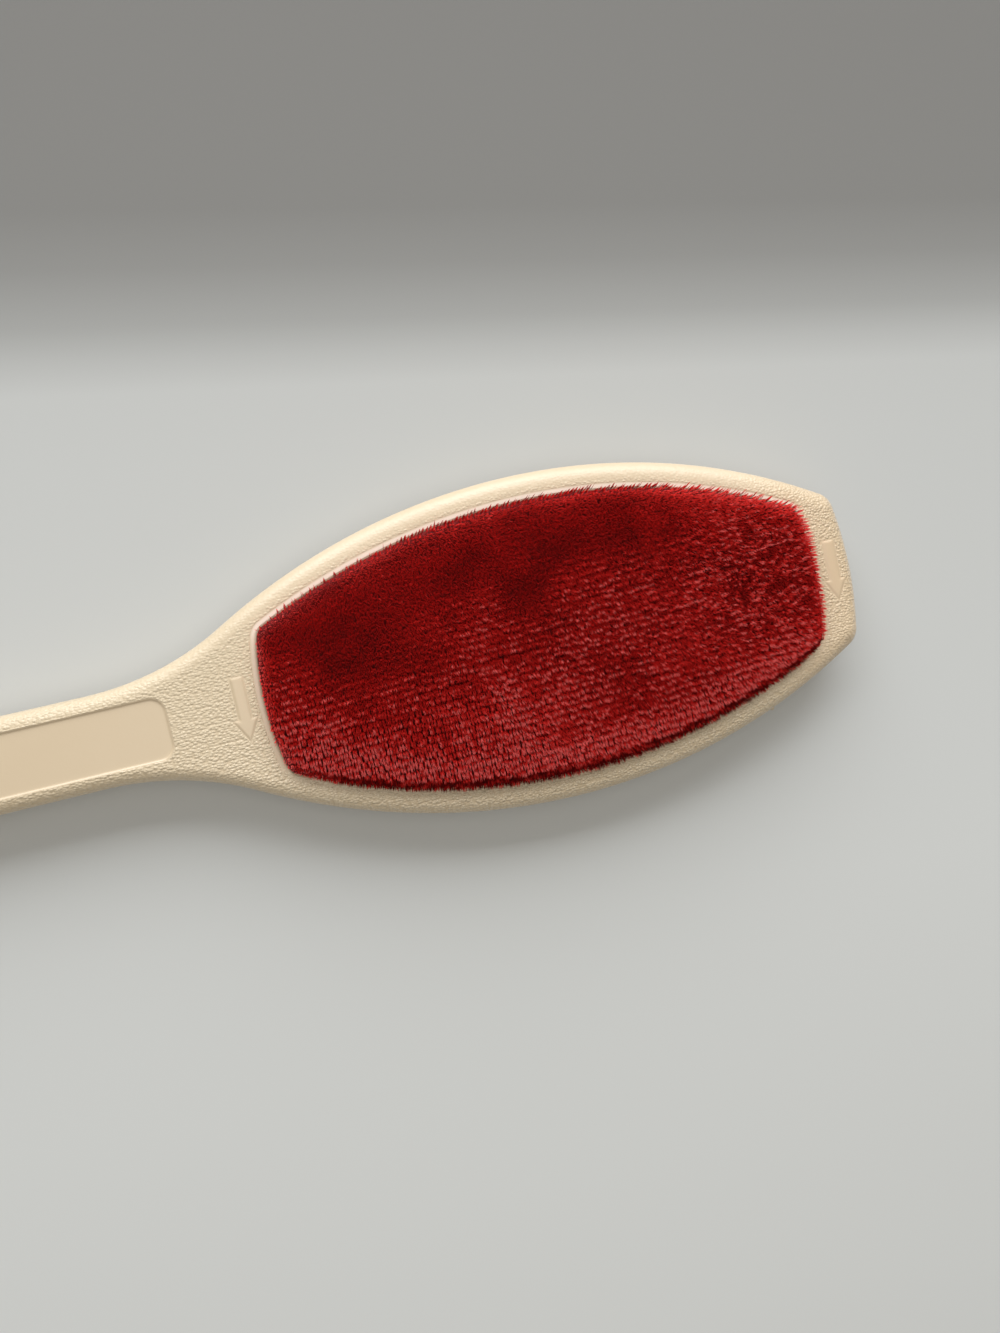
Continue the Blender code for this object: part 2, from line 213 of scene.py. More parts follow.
# Scales of the textures, per metre
POLISH_SCALE = 900.0
CLOUD_SCALE = 24.0
SCUFF_SCALE = 70.0
FOAM_CELL_SCALE = 3200.0
WARP_SCALE = 10053.0
WEFT_SCALE = 12566.0
FUZZ_SCALE = 1800.0
STREAK_SCALE = 240.0
STREAK_STRETCH = (1.0, 6.0, 1.0)

# The layers that only show at their edges, which draw further in at the pad's two ends
FILM_INSET = 0.00130
FOAM_INSET = 0.00150
CLOTH_INSET = 0.00135
LAYER_BULGE = 0.0001
PILE_INSET = 0.00142
END_DRAW = 0.00050
CROWN_SHARES = (0, 0.05, 0.10, 0.17, 0.25, 0.35, 0.45, 0.55, 0.65, 0.75, 0.85, 0.93, 0.98)

# The velour, in bands of rows that keep each piece light
ROW_SKEW = math.radians(1.4)
FRONT_BANDS = 8
BACK_BANDS = 4
FIBRE_MAP = "OFBake"
MAP_SHARE = 0.006
WAIST_SHARE = 0.6
FIBRE_POINTS = 5
BAND_SEED_STEP = 1000
STREWN_SEED_STEP = 101.0
FIBRE_SEED_STEP = 202.0
TURN_SEED_STEP = 303.0
LOCK_SIZE = 0.00080
LOCK_SEED = 31
LOCK_GRID = 512
WAVE_GRID = 64
PAD_MIDDLE_X = (RECESS_TIP_X + RECESS_NECK_X) / 2
ROOT_DEPTH = 0.00012
DROP_HEIGHT = 0.01

# Patches of the nap, each as (size, seed)
MOTTLE = (0.0100, 3)
GUST = (0.0042, 9)
ROW_RUN = (0.0024, 21)
COLUMN_RUN = (0.0024, 23)
BLOTCH = (0.0055, 25)
BROKEN_LINE = (0.00030, 41)
TIP_WAVE = (0.00042, 43)
WAVE_BEND = (0.0011, 45)

# Strips of the nap by the wall of the recess, each as distances from it where it starts and is full
HIGH_BAND = (0.0120, 0.0020)
HIGH_RIM = (0.0060, 0.0017)
END_RIM = (0.0048, 0.0017)
LOW_RIM = (0.0039, 0.0033)
LOW_EDGE = (0.0120, 0.0060)
LOCKED_EDGE = (0.0028, 0.0019)
FRINGE = (0.0023, 0.0017)

# Where the brush rests, fibres are pressed into a thin layer above the floor
PRESSED_DEPTH = 0.0004
PRESSED_LAYER = 0.00038
PRESSED_REACH = 0.0016
PRESSED_POWER_SHARE = 0.7

# The floor's painted shade: its far share at stops from its near side to its far side
FLOOR_TILT = 0.145
FLOOR_REACH = 0.150
FLOOR_SHADE_SHARES = (
    (0.0, 0.0), (0.34, 0.07), (0.68, 0.29), (0.735, 0.34), (0.758, 0.50), (0.78, 0.69),
    (0.82, 0.87), (0.86, 0.96), (1.0, 1.0))
FLOOR_HALF_SIDE = 3.0

# The lamps and the sky
LAMP_TARGET = (0.07, 0.0, 0.01)
KEY_LAMP_PLACE = (0.15, 0.76, 0.42)
KEY_LAMP_SIDES = (1.20, 0.60)
KEY_LAMP_COLOUR = (0.945, 0.965, 1.0)
FILL_LAMP_PLACE = (0.0, -0.05, 1.05)
FILL_LAMP_SIDES = (0.9, 0.9)
FILL_LAMP_COLOUR = (1.0, 0.965, 0.92)
SKY_COLOUR = (1.0, 0.96, 0.90, 1.0)

# The camera, solved from the outline of the head, for a picture of 1000 by 1333
CAMERA_PLACE = (0.04077, 0.01032, 0.2190)
CAMERA_ROLL = math.radians(13.44)
CAMERA_YAW = math.radians(8.50)
CAMERA_PITCH = math.radians(3.86)
SENSOR_WIDTH = 36.0
PICTURE_WIDTH = 1000
PICTURE_HEIGHT = 1333


def circle(centre, radius, steps):
    """Points round a circle, anticlockwise, each with its way out."""
    angles = np.arange(steps) / steps * math.tau
    rays = np.column_stack([np.cos(angles), np.sin(angles)])
    return np.asarray(centre) + radius * rays, rays


def arc(centre, radius, start, end, spacing, outward=1.0):
    """Points about one spacing apart on an arc, each with its way out of the outline."""
    steps = max(2, round(abs(end - start) * radius / spacing))
    angles = np.linspace(start, end, steps + 1)
    rays = np.column_stack([np.cos(angles), np.sin(angles)])
    return np.asarray(centre) + radius * rays, outward * rays


def straight(start, end, spacing):
    """Points about one spacing apart on a line with the outline's inside on its left."""
    start, end = np.asarray(start), np.asarray(end)
    length = np.linalg.norm(end - start)
    steps = max(1, round(length / spacing))
    points = start + np.linspace(0, 1, steps + 1)[:, None] * (end - start)
    along = (end - start) / length
    return points, np.tile([along[1], -along[0]], (steps + 1, 1))


def angle_between(start, end):
    """The angle of the line from one point to another."""
    return math.atan2(end[1] - start[1], end[0] - start[0])


def corner_centre(first_centre, first_reach, second_centre, second_reach):
    """The upper point at the given distances from two centres."""
    apart = Vector(second_centre) - Vector(first_centre)
    distance = apart.length
    along = (first_reach ** 2 - second_reach ** 2 + distance ** 2) / (2 * distance)
    across = math.sqrt(first_reach ** 2 - along ** 2)
    direction = apart / distance
    square = Vector((-direction.y, direction.x))
    if square.y < 0:
        square = -square
    return tuple(Vector(first_centre) + along * direction + across * square)


def closed_outline(runs):
    """Runs of the upper half, from tip to end, joined to their mirror image below the X axis."""
    points = np.concatenate([runs[0][0]] + [run[0][1:] for run in runs[1:]])
    outs = np.concatenate([runs[0][1]] + [run[1][1:] for run in runs[1:]])
    mirror = np.array([1, -1])
    return (
        np.concatenate([points, points[-2:0:-1] * mirror]),
        np.concatenate([outs, outs[-2:0:-1] * mirror]))


def rounded_corner(first, first_radius, second, second_radius, rounding):
    """The centre of the corner that rounds two crossing arcs, and the angles where it meets them."""
    centre = corner_centre(first, first_radius - rounding, second, second_radius - rounding)
    return centre, angle_between(first, centre), angle_between(second, centre)


def head_sides(half_width):
    """Centres of the arcs of the head's sides, towards the tip and towards the neck."""
    return (
        (WIDEST_X, half_width - HEAD_TIP_SIDE_RADIUS),
        (WIDEST_X, half_width - HEAD_NECK_SIDE_RADIUS))


def body_outline(spacing):
    """The moulding seen from above, with the way out at each point."""
    handle_half = HANDLE_WIDTH / 2
    rounding = DRAWN_CORNER_RADIUS
    tip_centre = (TIP_X - TIP_DRAW - TIP_EDGE_RADIUS, 0)
    tip_side, neck_side = head_sides(HEAD_WIDTH / 2)
    end_centre = (HANDLE_END_X + handle_half, 0)
    corner, tip_angle, side_angle = rounded_corner(
        tip_centre, TIP_EDGE_RADIUS, tip_side, HEAD_TIP_SIDE_RADIUS, rounding)
    neck_y = handle_half + NECK_RADIUS
    reach = HEAD_NECK_SIDE_RADIUS + NECK_RADIUS
    neck_x = WIDEST_X - math.sqrt(reach ** 2 - (neck_y - neck_side[1]) ** 2)
    neck_centre = (neck_x, neck_y)
    neck_angle = angle_between(neck_side, neck_centre)
    return closed_outline([
        arc(tip_centre, TIP_EDGE_RADIUS, 0, tip_angle, spacing),
        arc(corner, rounding, tip_angle, side_angle, spacing),
        arc(tip_side, HEAD_TIP_SIDE_RADIUS, side_angle, UPRIGHT, spacing),
        arc(neck_side, HEAD_NECK_SIDE_RADIUS, UPRIGHT, neck_angle, spacing),
        arc(neck_centre, NECK_RADIUS, neck_angle - math.pi, -UPRIGHT, spacing, -1.0),
        straight((neck_x, handle_half), (end_centre[0], handle_half), spacing),
        arc(end_centre, handle_half, UPRIGHT, math.pi, spacing),
    ])


def pad_outline(spacing):
    """The recess seen from above, with the way out at each point."""
    tip_centre = (RECESS_TIP_X - RECESS_END_RADIUS, 0)
    neck_centre = (RECESS_NECK_X + RECESS_END_RADIUS, 0)
    tip_side, neck_side = head_sides(HEAD_WIDTH / 2 - RECESS_SIDE_BORDER)
    rounding = RECESS_CORNER_RADIUS
    tip_corner, tip_angle, tip_side_angle = rounded_corner(
        tip_centre, RECESS_END_RADIUS, tip_side, HEAD_TIP_SIDE_RADIUS, rounding)
    neck_corner, neck_angle, neck_side_angle = rounded_corner(
        neck_centre, RECESS_END_RADIUS, neck_side, HEAD_NECK_SIDE_RADIUS, rounding)
    return closed_outline([
        arc(tip_centre, RECESS_END_RADIUS, 0, tip_angle, spacing),
        arc(tip_corner, rounding, tip_angle, tip_side_angle, spacing),
        arc(tip_side, HEAD_TIP_SIDE_RADIUS, tip_side_angle, UPRIGHT, spacing),
        arc(neck_side, HEAD_NECK_SIDE_RADIUS, UPRIGHT, neck_side_angle, spacing),
        arc(neck_corner, rounding, neck_side_angle, neck_angle, spacing),
        arc(neck_centre, RECESS_END_RADIUS, neck_angle, math.pi, spacing),
    ])


def panel_outline(spacing):
    """The bare label panel seen from above."""
    edge_y = HANDLE_WIDTH / 2 - PANEL_SIDE_BORDER
    corner_y = edge_y - PANEL_CORNER_RADIUS
    near_end = TIP_X - PANEL_FROM_TIP
    far_end = HANDLE_END_X + PANEL_FROM_END
    near_x = near_end - PANEL_CORNER_RADIUS
    far_x = far_end + PANEL_CORNER_RADIUS
    return closed_outline([
        straight((near_end, 0), (near_end, corner_y), spacing),
        arc((near_x, corner_y), PANEL_CORNER_RADIUS, 0, UPRIGHT, spacing),
        straight((near_x, edge_y), (far_x, edge_y), spacing),
        arc((far_x, corner_y), PANEL_CORNER_RADIUS, UPRIGHT, math.pi, spacing),
        straight((far_end, corner_y), (far_end, 0), spacing),
    ])


def arrow_outline(centre_x, spacing):
    """A plain arrow across the brush, with its head towards -Y and its way out at each point."""
    tail_y = ARROW_LENGTH / 2
    point_y = -ARROW_LENGTH / 2
    barb_y = point_y + ARROW_HEAD_LENGTH
    shaft = ARROW_SHAFT_WIDTH / 2
    barb = ARROW_HEAD_WIDTH / 2
    corners = np.array([
        (shaft, barb_y), (shaft, tail_y), (-shaft, tail_y), (-shaft, barb_y),
        (-barb, barb_y), (0, point_y), (barb, barb_y)]) + (centre_x, 0)
    normals = []
    for start, end in zip(corners, np.roll(corners, -1, axis=0)):
        normals.append(straight(start, end, spacing)[1][0])
    normals = np.array(normals)
    before = np.roll(normals, 1, axis=0)
    mitres = (normals + before) / (1 + np.sum(normals * before, axis=1))[:, None]
    points, outs = [], []
    for index, start in enumerate(corners):
        following = (index + 1) % len(corners)
        side = straight(start, corners[following], spacing)[0][:-1]
        shares = np.arange(len(side))[:, None] / len(side)
        points.append(side)
        outs.append(mitres[index] * (1 - shares) + mitres[following] * shares)
    return np.concatenate(points), np.concatenate(outs)


def ring_at(outline, outwards, height):
    """An outline's points moved outwards, at one height or a height for each."""
    points, outs = outline
    moved = points + outwards * outs
    return np.column_stack([moved, np.full(len(moved), height)])


def inside(points, loop):
    """Which points lie within a closed loop."""
    within = np.zeros(len(points), bool)
    for start, end in zip(loop, np.roll(loop, -1, axis=0)):
        if start[1] == end[1]:
            continue
        crosses = (points[:, 1] < start[1]) != (points[:, 1] < end[1])
        share = (points[:, 1] - start[1]) / (end[1] - start[1])
        within ^= crosses & (points[:, 0] < start[0] + share * (end[0] - start[0]))
    return within


def strewn_points(outer, holes, spacing):
    """Evenly strewn points inside an outline, outside its holes and clear of both."""
    low, high = outer.min(0), outer.max(0)
    rows = np.arange(low[1], high[1], spacing * math.sqrt(3) / 2)
    columns = np.arange(low[0], high[0], spacing)
    x, y = np.meshgrid(columns, rows)
    x[1::2] += spacing / 2
    grid = np.column_stack([x.ravel(), y.ravel()])
    keep = inside(grid, outer)
    for hole in holes:
        keep &= ~inside(grid, hole)
    grid = grid[keep]
    rim = np.concatenate([outer, *holes])
    tree = KDTree(len(rim))
    for index, point in enumerate(rim):
        tree.insert((*point, 0), index)
    tree.balance()
    clear = [tree.find((*point, 0))[2] > STREWN_CLEAR_SHARE * spacing for point in grid]
    return grid[np.array(clear, bool)]


class Shell:
    """Points, faces and shares of grain that are gathered into one closed mesh.

    A share runs from 1, grained, over 0, smooth, to -1, smooth with a painted pink glow of light
    from the pile.
    """

    def __init__(self):
        self.points = []
        self.faces = []
        self.shares = []
        self.count = 0

    def add(self, points, faces, share):
        """Take in some points, the faces between them and their share of grain."""
        self.points.append(points)
        self.faces.extend(tuple(int(corner) + self.count for corner in face) for face in faces)
        self.shares.append(np.broadcast_to(share, len(points)))
        self.count += len(points)

    def strip(self, rings, share, inward=False):
        """Bands of faces down through rings of points that run anticlockwise."""
        size = len(rings[0])
        here = np.arange(size)
        following = np.roll(here, -1)
        faces = []
        for upper in range(len(rings) - 1):
            above, below = upper * size, (upper + 1) * size
            quads = np.column_stack([
                above + here, below + here, below + following, above + following])
            faces.extend(quads[:, ::-1] if inward else quads)
        self.add(np.concatenate(rings), faces, share)

    def cap(self, ring, facing_down=False):
        """One flat face on a ring."""
        corners = range(len(ring))
        self.add(ring, [corners[::-1] if facing_down else corners], 0.0)

    def flat(self, outer, holes, height, spacing):
        """Small faces between an outer ring and the rings of its holes, facing up."""
        loops = [outer[:, :2]] + [hole[:, :2] for hole in holes]
        strewn = strewn_points(loops[0], loops[1:], spacing)
        edges, start = [], 0
        for loop in loops:
            edges += [(start + i, start + (i + 1) % len(loop)) for i in range(len(loop))]
            start += len(loop)
        millimetres = np.concatenate(loops + [strewn]) * 1000
        found = delaunay_2d_cdt([Vector(p) for p in millimetres], edges, [], 0, 1e-6)
        points = np.array([tuple(p) for p in found[0]]) / 1000
        rim, hole_rim = len(loops[0]), sum(len(loop) for loop in loops)
        origin = np.array([min(origins, default=hole_rim) for origins in found[3]])
        share = np.where((origin >= rim) & (origin < hole_rim), 0.0, 1.0)
        faces = np.array(found[2])
        corners = points[faces]
        along, across = corners[:, 1] - corners[:, 0], corners[:, 2] - corners[:, 0]
        turned = along[:, 0] * across[:, 1] < along[:, 1] * across[:, 0]
        faces[turned] = faces[turned][:, ::-1]
        on_rims = np.flatnonzero(np.all(origin[faces] < hole_rim, axis=1))
        middles = corners[on_rims].mean(axis=1)
        filled = inside(middles, loops[0])
        for hole in loops[1:]:
            filled &= ~inside(middles, hole)
        faces = np.delete(faces, on_rims[~filled], axis=0)
        self.add(np.column_stack([points, np.full(len(points), height)]), faces, share)

    def join(self, other, turned_over=False):
        """Take in another shell, turned half round about the long line where asked."""
        points = np.concatenate(other.points)
        if turned_over:
            points = points * (1, -1, -1)
        self.add(points, other.faces, np.concatenate(other.shares))

    def mesh(self, name):
        """One welded mesh in the object's frame."""
        mesh = bpy.data.meshes.new(name)
        points = np.concatenate(self.points) + (0, 0, MIDDLE_HEIGHT)
        mesh.from_pydata(points, [], self.faces)
        grain = mesh.attributes.new("grain", "FLOAT", "POINT")
        grain.data.foreach_set("value", np.concatenate(self.shares).astype(np.float32))
        shape = bmesh.new()
        shape.from_mesh(mesh)
        bmesh.ops.remove_doubles(shape, verts=shape.verts, dist=WELD_DISTANCE)
        shape.to_mesh(mesh)
        shape.free()
        return mesh


def finish_piece(name, mesh, slot, *replaced):
    """Show a finished mesh as a piece of the brush that stands for CAD nodes."""
    mesh.shade_smooth()
    piece = bpy.data.objects.new(name, mesh)
    bpy.context.scene.collection.objects.link(piece)
    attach(piece, "root")
    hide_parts(*replaced)
    return piece


class Value:
    """An output in a node tree. Sums can be written on it, and each adds its Math node."""

    def __init__(self, tree, socket):
        self.tree = tree
        self.socket = socket

    def math(self, operation, *others, clamp=False):
        """The output of one Math node on this value and up to two others."""
        inputs = dict(enumerate((self, *others)))
        return value_of(
            self.tree, "ShaderNodeMath", inputs, operation=operation, use_clamp=clamp)

    def ramp(self, rise, start):
        """This value times a rise plus a start, held between 0 and 1."""
        return self.math("MULTIPLY_ADD", rise, start, clamp=True)

    def __add__(self, other):
        return self.math("ADD", other)

    def __sub__(self, other):
        return self.math("SUBTRACT", other)

    def __mul__(self, other):
        return self.math("MULTIPLY", other)

    def __truediv__(self, other):
        return self.math("DIVIDE", other)


def add_node(tree, kind, values=None, **settings):
    """A node with its settings, and with numbers or other nodes' values on its inputs."""
    made = tree.nodes.new(kind)
    for name, value in settings.items():
        setattr(made, name, value)
    set_inputs(tree, made, values or {})
    return made


def set_inputs(tree, made, values):
    """Put numbers or other nodes' values on a node's inputs."""
    for key, value in values.items():
        if isinstance(value, Value):
            tree.links.new(value.socket, made.inputs[key])
        else:
            made.inputs[key].default_value = value


def value_of(tree, kind, values=None, output=0, **settings):
    """One output of a new node."""
    return Value(tree, add_node(tree, kind, values, **settings).outputs[output])


def vector_of(operation, first, second):
    """The vector output of one Vector Math node."""
    return value_of(
        first.tree, "ShaderNodeVectorMath", {0: first, 1: second}, operation=operation)


def noise_of(place, scale, detail=2.0, roughness=0.5, output="Fac"):
    """The output of one Noise Texture."""
    return value_of(place.tree, "ShaderNodeTexNoise", {
        "Vector": place, "Scale": scale, "Detail": detail, "Roughness": roughness}, output)


def ramp_of(share, stops):
    """The colour of a ramp, given as (place, colour) stops."""
    ramp = add_node(share.tree, "ShaderNodeValToRGB", {"Fac": share})
    elements = ramp.color_ramp.elements
    while len(elements) < len(stops):
        elements.new(0.5)
    for element, (place, colour) in zip(elements, stops):
        element.position = place
        element.color = (*colour, 1.0)
    return Value(share.tree, ramp.outputs["Color"])


def mixed_colour(tree, share, first, second, blend="MIX"):
    """The colour output of one Mix node."""
    return value_of(
        tree, "ShaderNodeMix", {0: share, 6: first, 7: second}, 2,
        data_type="RGBA", blend_type=blend)


def tinted(colour, share, tones):
    """A colour times the tone that a ramp gives for a share."""
    return mixed_colour(share.tree, 1.0, colour, ramp_of(share, tones), "MULTIPLY")


def toned(colour, tone):
    """A plain colour times a tone."""
    return tuple(min(1.0, part * by) for part, by in zip(colour, tone))


def split_of(vector):
    """The three parts of a vector."""
    parts = add_node(vector.tree, "ShaderNodeSeparateXYZ", {0: vector}).outputs
    return [Value(vector.tree, part) for part in parts]


def joined(tree, x=0.0, y=0.0, z=0.0):
    """A vector from its three parts."""
    return value_of(tree, "ShaderNodeCombineXYZ", {0: x, 1: y, 2: z})


def new_material(name):
    """A material with its tree and its shader."""
    material = bpy.data.materials.new(name)
    material.use_nodes = True
    tree = material.node_tree
    return material, tree, tree.nodes["Principled BSDF"]


def object_place(tree):
    """The place on a piece, in the frame of the brush."""
    return value_of(tree, "ShaderNodeTexCoord", output="Object")


def dress_shader(shader, colour, others, height=None, depth=0.0, strength=1.0):
    """Give a shader its colour, its other inputs and the bump of a height."""
    set_inputs(colour.tree, shader, {"Base Color": colour, **others})
    if height is not None:
        bump = value_of(colour.tree, "ShaderNodeBump", {
            "Strength": strength, "Distance": depth, "Height": height}, "Normal")
        set_inputs(colour.tree, shader, {"Normal": bump})


def grain_place(place):
    """The place that the grain is read at, whose pebbles get shorter towards the tip."""
    x, y, z = split_of(place)
    beyond = (x - GRAIN_TURNS_X).math("MAXIMUM", 0.0)
    return joined(place.tree, beyond * beyond * GRAIN_TIGHTENING + x, y, z)


def grain_height(place):
    """Height of the leather grain, from 0 in its creases to 1, on a place counted in pebbles."""
    bend = vector_of("SUBTRACT", noise_of(place, 0.8, 2.0, 0.5, "Color"), (0.5, 0.5, 0.5))
    bent = vector_of("ADD", place, vector_of("MULTIPLY", bend, (0.45, 0.45, 0.45)))
    pebbles = value_of(
        place.tree, "ShaderNodeTexVoronoi",
        {"Vector": bent, "Scale": 1.0, "Smoothness": 0.2, "Randomness": 0.75},
        "Distance", feature="SMOOTH_F1")
    ridge = (noise_of(bent, 1.1, 1.0) * 2.0 - 1.0).math("ABSOLUTE").ramp(-2.6, 1.0)
    return ridge * 0.08 + pebbles.ramp(-1.5, 1.2) * 0.96


def plastic_material(settings):
    """Cream moulded plastic with leather grain, smooth where the mould was polished."""
    material, tree, shader = new_material("cream_moulded_plastic")
    place = object_place(tree)
    x, y, _ = split_of(place)
    finish = value_of(tree, "ShaderNodeAttribute", output="Fac", attribute_name="grain")

    # The grain, and the painted shade in its creases, are deeper on the -Y side, which faces away
    # from the key lamp
    by_tip = x.ramp(*BY_TIP_RAMP)
    level = by_tip * 0.30 + (y.ramp(*BY_LOW_RAMP) * 0.50 - 0.88)
    doublings = y * (by_tip * 22.0 - 26.0) + level
    evened = value_of(tree, "ShaderNodeMath", {0: 2.0, 1: doublings}, operation="POWER")
    grain = finish.math("MAXIMUM", 0.0).math("MULTIPLY", evened, clamp=True)
    pebble = (settings.grain_length, settings.grain_width, settings.grain_width)
    raised = grain_height(vector_of("DIVIDE", grain_place(place), pebble)) * grain
    surface = noise_of(place, POLISH_SCALE, 3.0, 0.6) * 0.06 + raised

    # Cloudy cream, with painted shade in the creases, plain where smooth, a painted warm reflection
    # of the red pile by the tip, and a painted pink glow from the pile
    creased = grain.math("SUBTRACT", raised, clamp=True)
    colour = (*settings.colour, 1.0)
    for share, tones in (
            (noise_of(place, CLOUD_SCALE, 3.0), CLOUD_TONES), (creased, CREASE_SHADE_TONES),
            (grain, SMOOTH_TONES), (by_tip, TIP_REFLECTION_TONES)):
        colour = tinted(colour, share, tones)
    # Where the share is below 0, a painted pink glow from the pile
    glow_pink = (*toned(settings.colour, LIP_GLOW_TONE), 1.0)
    colour = mixed_colour(tree, finish.math("MULTIPLY", -1.0, clamp=True), colour, glow_pink)
    dull = noise_of(place, SCUFF_SCALE, 4.0, 0.65) * 0.16 + (settings.roughness - 0.08)
    others = {
        "Roughness": creased * 0.10 + dull, "IOR": 1.50, "Specular IOR Level": 0.85,
        "Sheen Weight": 0.30, "Sheen Roughness": 0.45}
    dress_shader(shader, colour, others, surface, settings.grain_bump)
    return material


def new_tree(name, inputs):
    """A Geometry Nodes tree with named inputs, and what they give, and its output node."""
    tree = bpy.data.node_groups.new(name, "GeometryNodeTree")
    kinds = {"Geometry": "NodeSocketGeometry", "Material": "NodeSocketMaterial"}
    for label in ("Geometry", *inputs):
        value = inputs.get(label)
        plain = "NodeSocketInt" if isinstance(value, int) else "NodeSocketFloat"
        socket = tree.interface.new_socket(
            label, in_out="INPUT", socket_type=kinds.get(label, plain))
        if value is not None:
            socket.default_value = value
    tree.interface.new_socket("Geometry", in_out="OUTPUT", socket_type="NodeSocketGeometry")
    first = tree.nodes.new("NodeGroupInput")
    given = {label: Value(tree, first.outputs[label]) for label in ("Geometry", *inputs)}
    return tree, given, tree.nodes.new("NodeGroupOutput")


def end_tree(geometry, given, last):
    """Realize what the tree made, give it its material and put it out."""
    tree = geometry.tree
    realized = value_of(tree, "GeometryNodeRealizeInstances", {"Geometry": geometry})
    coloured = value_of(tree, "GeometryNodeSetMaterial", {
        "Geometry": realized, "Material": given["Material"]})
    set_inputs(tree, last, {"Geometry": coloured})


def named_value(tree, name, kind):
    """The value that each point keeps under a name."""
    return value_of(tree, "GeometryNodeInputNamedAttribute", {"Name": name}, data_type=kind)


def stored(geometry, name, value):
    """Geometry that keeps a vector for each point under a name."""
    return value_of(
        geometry.tree, "GeometryNodeStoreNamedAttribute",
        {"Geometry": geometry, "Name": name, "Value": value},
        data_type="FLOAT_VECTOR", domain="POINT")


def random_of(seed, low=(0, 0, 0), high=(1, 1, 1)):
    """A random vector for each point."""
    return value_of(
        seed.tree, "FunctionNodeRandomValue", {0: low, 1: high, "Seed": seed},
        data_type="FLOAT_VECTOR")


def moved(geometry, **place):
    """Geometry with its points at a Position or moved by an Offset."""
    return value_of(
        geometry.tree, "GeometryNodeSetPosition", {"Geometry": geometry, **place})


def result_of(name, base, tree, inputs):
    """The plain mesh that a tree makes of a base mesh."""
    holder = bpy.data.objects.new(name, base)
    bpy.context.scene.collection.objects.link(holder)
    modifier = holder.modifiers.new(name, "NODES")
    modifier.node_group = tree
    for item in tree.interface.items_tree:
        if item.item_type == "SOCKET" and item.in_out == "INPUT" and item.name in inputs:
            modifier[item.identifier] = inputs[item.name]
    seen = bpy.context.evaluated_depsgraph_get()
    mesh = bpy.data.meshes.new_from_object(
        holder.evaluated_get(seen), preserve_all_data_layers=True, depsgraph=seen)
    holder.modifiers.remove(modifier)
    bpy.data.objects.remove(holder)
    mesh.name = name
    return mesh


def grain_tree(inputs):
    """A tree that raises the leather grain on a mesh, by the share that each point holds."""
    tree, given, last = new_tree("moulded_grain", inputs)
    place = value_of(tree, "GeometryNodeInputPosition")
    pebble = joined(tree, given["Grain Length"], given["Grain Width"], given["Grain Width"])
    height = grain_height(vector_of("DIVIDE", grain_place(place), pebble))
    share = named_value(tree, "grain", "FLOAT").math("MAXIMUM", 0.0)
    rise = (height - GRAIN_MEAN_SHARE) * (share * given["Grain Depth"])
    normal = value_of(tree, "GeometryNodeInputNormal")
    offset = value_of(tree, "ShaderNodeVectorMath", {0: normal, "Scale": rise}, operation="SCALE")
    end_tree(moved(given["Geometry"], Offset=offset), given, last)
    return tree


def quarter_round(steps):
    """How far in and how far down a rounded edge runs, as shares of its radius."""
    angles = np.linspace(0, UPRIGHT, steps + 1)
    return zip(1 - np.sin(angles), 1 - np.cos(angles))


def edge_rings():
    """Rings round the rounded edge of the moulding, from its face down to its back."""
    outline = body_outline(OUTLINE_SPACING)
    points, outs = outline
    on_sides = smooth_step(*HEAD_ROUNDING_RUN, points[:, :1]) * np.abs(outs[:, 1:])
    reach = EDGE_RADIUS * (1 + HEAD_ROUNDING_SHARE * on_sides)
    rings = []
    for inwards, down in quarter_round(ROUND_EDGE_STEPS):
        rings.append(ring_at(outline, -reach * inwards, FACE_Z - EDGE_RADIUS * down))
    wall = FACE_Z - EDGE_RADIUS
    for height in (0.7 * wall, 0.4 * wall, PARTING_HALF_WIDTH):
        rings.append(ring_at(outline, 0, height))
    below = [ring * (1, 1, -1) for ring in reversed(rings)]
    nearness = (points[:, :1] - WISP_X) / WISP_HALF_WIDTH
    wisp = WISP_LENGTH * np.exp(-nearness ** 2) * (points[:, 1:] < 0)
    parting = ring_at(outline, PARTING_HEIGHT + wisp, 0)
    return rings + [parting] + below


def stepped(outline, steps):
    """Rings of a soft step in the face."""
    return [ring_at(outline, outwards, FACE_Z + rise) for outwards, rise in steps]


